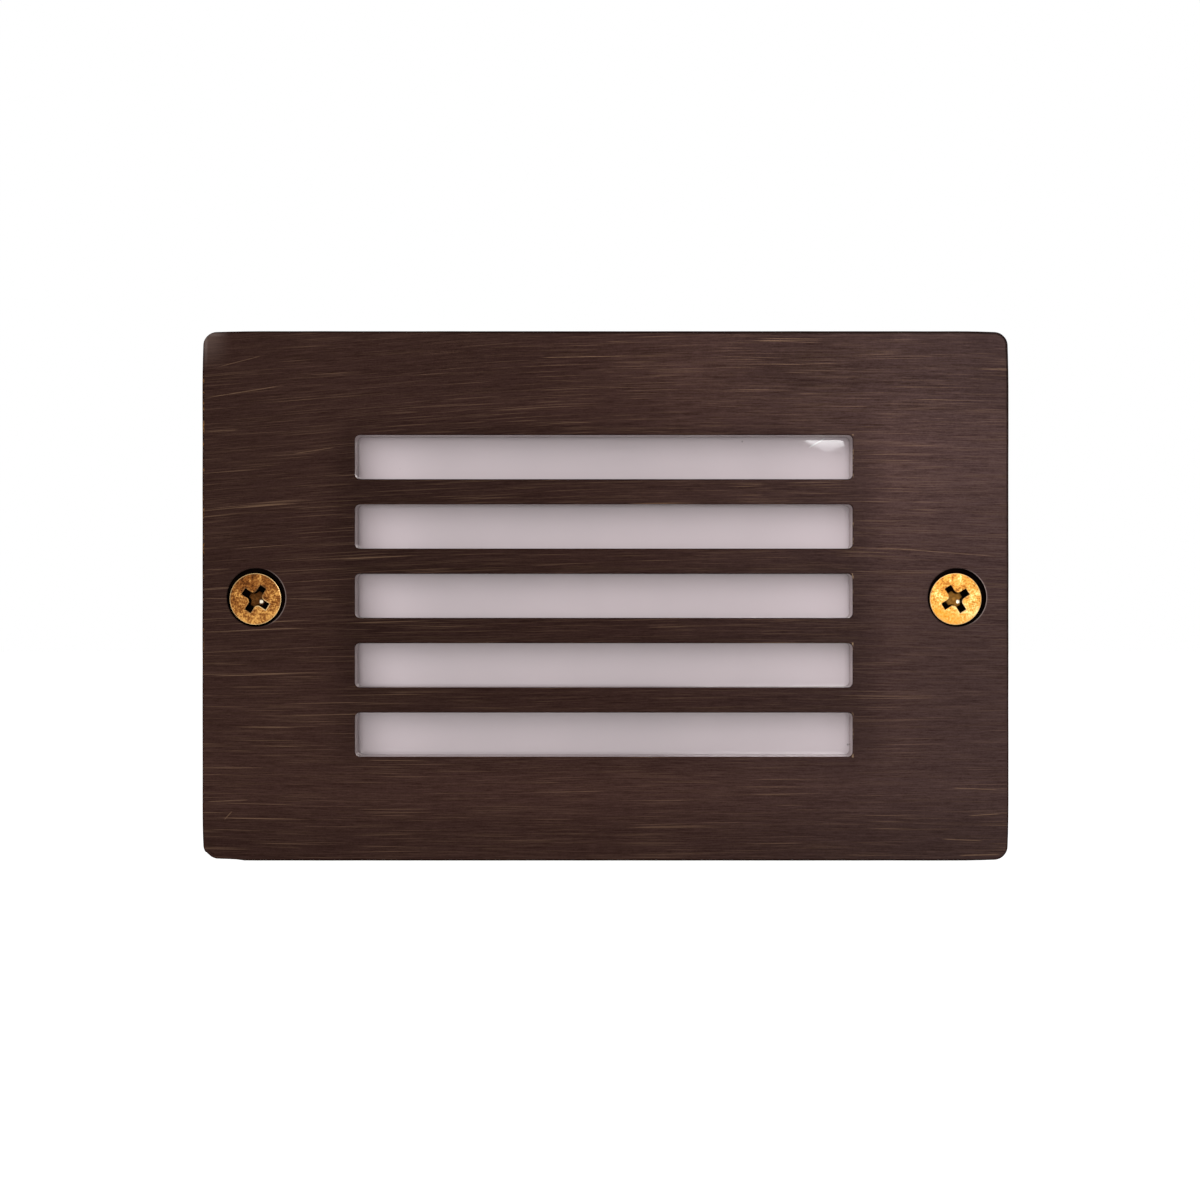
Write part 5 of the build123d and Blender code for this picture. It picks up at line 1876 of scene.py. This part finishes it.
@dataclass
class LampBay:
    """The reflector pan, the lamp, its holder and the parts that carry them."""

    pillar_reach: float = 24.0
    pillar_rise: float = 10.0
    pan_floor: float = 25.2
    rivet_x: float = -14.5
    holder_side: float = -5.3
    lamp_axis: float = 14.0
    stem_start: float = -2.0
    stem_length: float = 5.0
    stem_radius: float = 0.25
    coil_length: float = 6.0
    coil_radius: float = 0.6
    coil_turns: float = 14.0
    wire_radius: float = 0.11
    stem_sides: int = 12
    coil_steps: int = 16
    wire_sides: int = 8
    pan_screw: PanScrew = PanScrew(head_radius=2.8, head_height=1.6, shank_radius=1.5, length=8.2)
    side_screw: PanScrew = PanScrew(head_radius=2.2, head_height=1.5, shank_radius=1.25, length=3.4)

    def build(self) -> None:
        """Dresses the bay's nodes and builds its screws and filament."""
        dress_node("reflector", PAN_ALUMINIUM)
        dress_node("bracket_rivet", PAN_ALUMINIUM)
        dress_node("lamp_holder", STEATITE)
        dress_node("holder_bracket", STAMPED_STEEL)
        dress_node("lamp_contacts", TURNED_BRASS)
        dress_node("lamp_capsule", QUARTZ)
        dress_node("lamp_pins", LAMP_WIRE)
        pan_screws = self.pan_screw.place(
            "pan_screw_set",
            [(side * self.pillar_reach, self.pan_floor, self.pillar_rise) for side in (-1, 1)],
            (math.pi / 2, 0.0, 0.0),
            STAMPED_STEEL,
        )
        fit(pan_screws, "housing", ["reflector_screws"], STAMPED_STEEL)
        side_screw = self.side_screw.place(
            "holder_side_screw",
            [(self.rivet_x, self.lamp_axis, self.holder_side)],
            (math.pi, 0.0, 0.0),
            STAMPED_STEEL,
        )
        fit(side_screw, "housing", ["holder_screw"], STAMPED_STEEL)
        fit(self.filament(), "lamp", ["lamp_filament"], LAMP_WIRE)

    def filament(self) -> bpy.types.Object:
        """Builds the coiled filament on its two stems.

        Returns:
            The filament's object.
        """
        draft = Draft()
        half = self.coil_length / 2
        stem_end = self.stem_start + self.stem_length
        turns = [step * FULL_TURN / self.stem_sides for step in range(self.stem_sides)]
        for axis in (self.lamp_axis - half, self.lamp_axis + half):
            rings = []
            for along in (self.stem_start, stem_end):
                rings.append(
                    draft.ring(
                        (
                            along,
                            axis + self.stem_radius * math.cos(angle),
                            self.stem_radius * math.sin(angle),
                        )
                        for angle in turns
                    )
                )
            draft.lathe(rings)
            draft.close(rings[0], (self.stem_start, axis, 0.0))
            draft.close(rings[1], (stem_end, axis, 0.0))
        place = Vector((stem_end, self.lamp_axis - half, 0.0)) * MILLIMETRE
        sizes = {
            "Coil Radius": self.coil_radius - self.wire_radius,
            "Coil Length": self.coil_length,
            "Wire Radius": self.wire_radius,
        }
        inputs = {label: ("NodeSocketFloat", size * MILLIMETRE) for label, size in sizes.items()}
        inputs["Turns"] = ("NodeSocketFloat", self.coil_turns)
        inputs["Place"] = ("NodeSocketVector", tuple(place))
        recipe = Recipe("filament_coil", inputs)
        graph = recipe.graph
        coil = graph.add(
            "GeometryNodeCurveSpiral",
            None,
            {
                "Resolution": self.coil_steps,
                "Rotations": recipe.input("Turns"),
                "Start Radius": recipe.input("Coil Radius"),
                "End Radius": recipe.input("Coil Radius"),
                "Height": recipe.input("Coil Length"),
            },
        )
        wire = graph.add(
            "GeometryNodeCurvePrimitiveCircle",
            None,
            {"Resolution": self.wire_sides, "Radius": recipe.input("Wire Radius")},
        )
        sweep = {"Curve": coil, "Profile Curve": wire, "Fill Caps": True}
        tube = graph.add("GeometryNodeCurveToMesh", None, sweep)
        laid = graph.add(
            "GeometryNodeTransform",
            None,
            {
                "Geometry": tube,
                "Translation": recipe.input("Place"),
                "Rotation": Euler((-math.pi / 2, 0.0, 0.0)),
            },
        )
        recipe.end(Thread.join(graph, (recipe.input("Geometry"), laid)), LAMP_WIRE)
        return recipe.run("coiled_filament", draft.mesh_data("filament_stems"))


@dataclass
class TerminalBay:
    """The leads and the terminal block that they end in."""

    centre: tuple[float, float] = (-31.0, -14.0)
    block_front: float = 35.0
    screw: PanScrew = PanScrew(
        head_radius=1.8, head_height=1.4, shank_radius=1.0, length=11.1, shoulder=0.97
    )

    def build(self) -> None:
        """Dresses the bay's nodes and builds the block's screw."""
        for lead in ("front_lead", "rear_lead"):
            dress_node(lead, SLEEVING)
        dress_node("terminal_block", TERMINAL_PLASTIC)
        dress_node("terminal_clamps", TURNED_BRASS)
        dress_node("terminal_screws", STAMPED_STEEL)
        screw = self.screw.place(
            "block_screw_piece",
            [(self.centre[0], self.block_front + self.screw.head_height, self.centre[1])],
            (math.pi / 2, 0.0, 0.0),
            STAMPED_STEEL,
        )
        fit(screw, "housing", ["block_screw"], STAMPED_STEEL)


@dataclass
class Shell:
    """The moulded housing and the cable gland on its back."""

    def build(self) -> None:
        """Dresses the housing and the gland."""
        dress_node("housing", HOUSING_PLASTIC)
        for node in ("gland_body", "gland_locknut", "gland_clamp_ring", "gland_nut"):
            dress_node(node, GLAND_PLASTIC)
        for node in ("gland_washer", "gland_seal"):
            dress_node(node, RUBBER)


# ------------------------------------------------------------------ studio
@dataclass
class Studio:
    """White surroundings, a soft key from the upper left, a bright card and the camera."""

    floor_level: float = -0.12
    floor_reach: float = 4.0
    floor_cells: int = 4
    floor_grey: float = 0.9
    floor_glow: float = 0.5
    ambient: float = 0.5
    key_strength: float = 1.6
    key_spread: float = 60.0
    key_travel: tuple[float, float, float] = (0.42, 0.85, -0.36)
    card_corner: tuple[float, float] = (0.1526, 0.0997)
    card_distance: float = 1.0
    card_radius: float = 0.13
    card_lean: float = 86.0
    card_radiance: float = 12.0
    card_sides: int = 8
    card_fade: float = 13.0
    card_tones: tuple[Colour, Colour] = ((140, 140, 142), (255, 255, 255))
    camera_place: tuple[float, float, float] = (-0.00079, -0.277, -0.00059)
    focal_length: float = 56.38
    sensor_width: float = 36.0
    sight: Span = (0.01, 50.0)

    def build(self) -> None:
        """Sets up the whole studio."""
        self.surroundings()
        self.floor()
        self.key()
        self.card()
        self.camera()
        bpy.context.scene.view_settings.view_transform = "Standard"

    def seen(self, graph: Graph) -> Signal:
        """Tells the rays that see the surroundings from the rays that light a surface.

        Args:
            graph: The graph that gets the nodes.

        Returns:
            1 for the first and 0 for the second.
        """
        rays = [
            graph.add("ShaderNodeLightPath", output=name)
            for name in ("Is Camera Ray", "Is Glossy Ray", "Is Transmission Ray")
        ]
        return rays[0].most(rays[1]).most(rays[2])

    def surroundings(self) -> None:
        """White where it is seen, and dimmer where it only lights."""
        world = bpy.data.worlds.new("studio")
        world.use_nodes = True
        bpy.context.scene.world = world
        graph = Graph(world.node_tree)
        light = world.node_tree.nodes["Background"]
        light.inputs["Color"].default_value = WHITE
        strength = self.ambient + self.seen(graph) * (1.0 - self.ambient)
        feed(world.node_tree, light.inputs["Strength"], strength)

    def floor(self) -> None:
        """A plain white floor under the object."""
        mesh = bmesh.new()
        cells = self.floor_cells
        bmesh.ops.create_grid(mesh, x_segments=cells, y_segments=cells, size=self.floor_reach)
        bmesh.ops.translate(mesh, vec=(0.0, 0.0, self.floor_level), verts=mesh.verts[:])
        data = bpy.data.meshes.new("studio_floor")
        mesh.to_mesh(data)
        mesh.free()
        floor = new_object("studio_floor", data)
        graph, shader = self.stage_material(floor, self.floor_grey, 1.0)
        glow = graph.blend(self.seen(graph), BLACK, (self.floor_glow,) * 3 + (1.0,))
        feed(graph.tree, shader.inputs["Emission Color"], glow)

    def key(self) -> None:
        """A broad, soft light from the upper left, in front."""
        lamp = bpy.data.lights.new("key", "SUN")
        lamp.energy = self.key_strength
        lamp.angle = math.radians(self.key_spread)
        holder = bpy.data.objects.new("key", lamp)
        holder.rotation_euler = Vector(self.key_travel).to_track_quat("-Z", "Y").to_euler()
        holder.visible_glossy = False
        bpy.context.scene.collection.objects.link(holder)

    def card(self) -> None:
        """A small bright octagon to the upper right, seen in glossy surfaces only."""
        mesh = bmesh.new()
        bmesh.ops.create_circle(
            mesh,
            cap_ends=True,
            segments=self.card_sides,
            radius=self.card_radius,
            matrix=self.card_matrix(),
        )
        data = bpy.data.meshes.new("card")
        mesh.to_mesh(data)
        mesh.free()
        card = new_object("card", data)
        for rays in ("camera", "diffuse", "transmission", "shadow"):
            setattr(card, f"visible_{rays}", False)
        graph, shader = self.stage_material(card, 0.0, self.card_radiance)
        height = graph.coordinates()[2] - self.card_corner[1] / MILLIMETRE
        glow = graph.between(height.rise(0.0, self.card_fade), self.card_tones)
        feed(graph.tree, shader.inputs["Emission Color"], glow)

    @staticmethod
    def stage_material(
        owner: bpy.types.Object, grey: float, strength: float
    ) -> tuple[Graph, bpy.types.ShaderNode]:
        """Gives a stage piece a matt material that can glow.

        Args:
            owner: The floor or the card.
            grey: How pale its own colour is, from 0 to 1.
            strength: The strength of its glow.

        Returns:
            The material's graph and its shader, whose glow has no colour yet.
        """
        material = bpy.data.materials.new(owner.name)
        material.use_nodes = True
        shader = material.node_tree.nodes["Principled BSDF"]
        for name, value in {
            "Base Color": (grey,) * 3 + (1.0,),
            "Roughness": 1.0,
            "Specular IOR Level": 0.0,
            "Emission Strength": strength,
        }.items():
            shader.inputs[name].default_value = value
        owner.data.materials.append(material)
        return Graph(material.node_tree), shader

    def card_matrix(self) -> Matrix:
        """Works out where the card stands.

        Returns:
            Its placing: upright, facing the cover, with one corner as its lowest point.
        """
        lean = math.radians(self.card_lean)
        upward = Vector((math.cos(lean), 0.0, math.sin(lean)))
        across = Vector((math.sin(lean), 0.0, -math.cos(lean)))
        corner = Vector((self.card_corner[0], -self.card_distance, self.card_corner[1]))
        centre = corner + upward * self.card_radius
        turn = Matrix((upward, across, upward.cross(across))).transposed()
        return Matrix.Translation(centre) @ turn.to_4x4()

    def camera(self) -> None:
        """The camera, close in front of the cover."""
        data = bpy.data.cameras.new("camera")
        data.sensor_width = self.sensor_width
        data.lens = self.focal_length
        data.clip_start, data.clip_end = self.sight
        camera = bpy.data.objects.new("camera", data)
        camera.location = self.camera_place
        camera.rotation_euler = (math.pi / 2, 0.0, 0.0)
        bpy.context.scene.collection.objects.link(camera)
        bpy.context.scene.camera = camera


def main() -> None:
    """Builds the object part by part, then the studio round it."""
    logging.basicConfig(level=logging.INFO, format="%(message)s")
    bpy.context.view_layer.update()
    for part in (CoverPlate(), LensStack(), FaceScrews(), LampBay(), TerminalBay(), Shell()):
        LOG.info("building %s", type(part).__name__)
        part.build()
    Studio().build()
    bpy.context.view_layer.update()


if __name__ == "__main__":
    main()
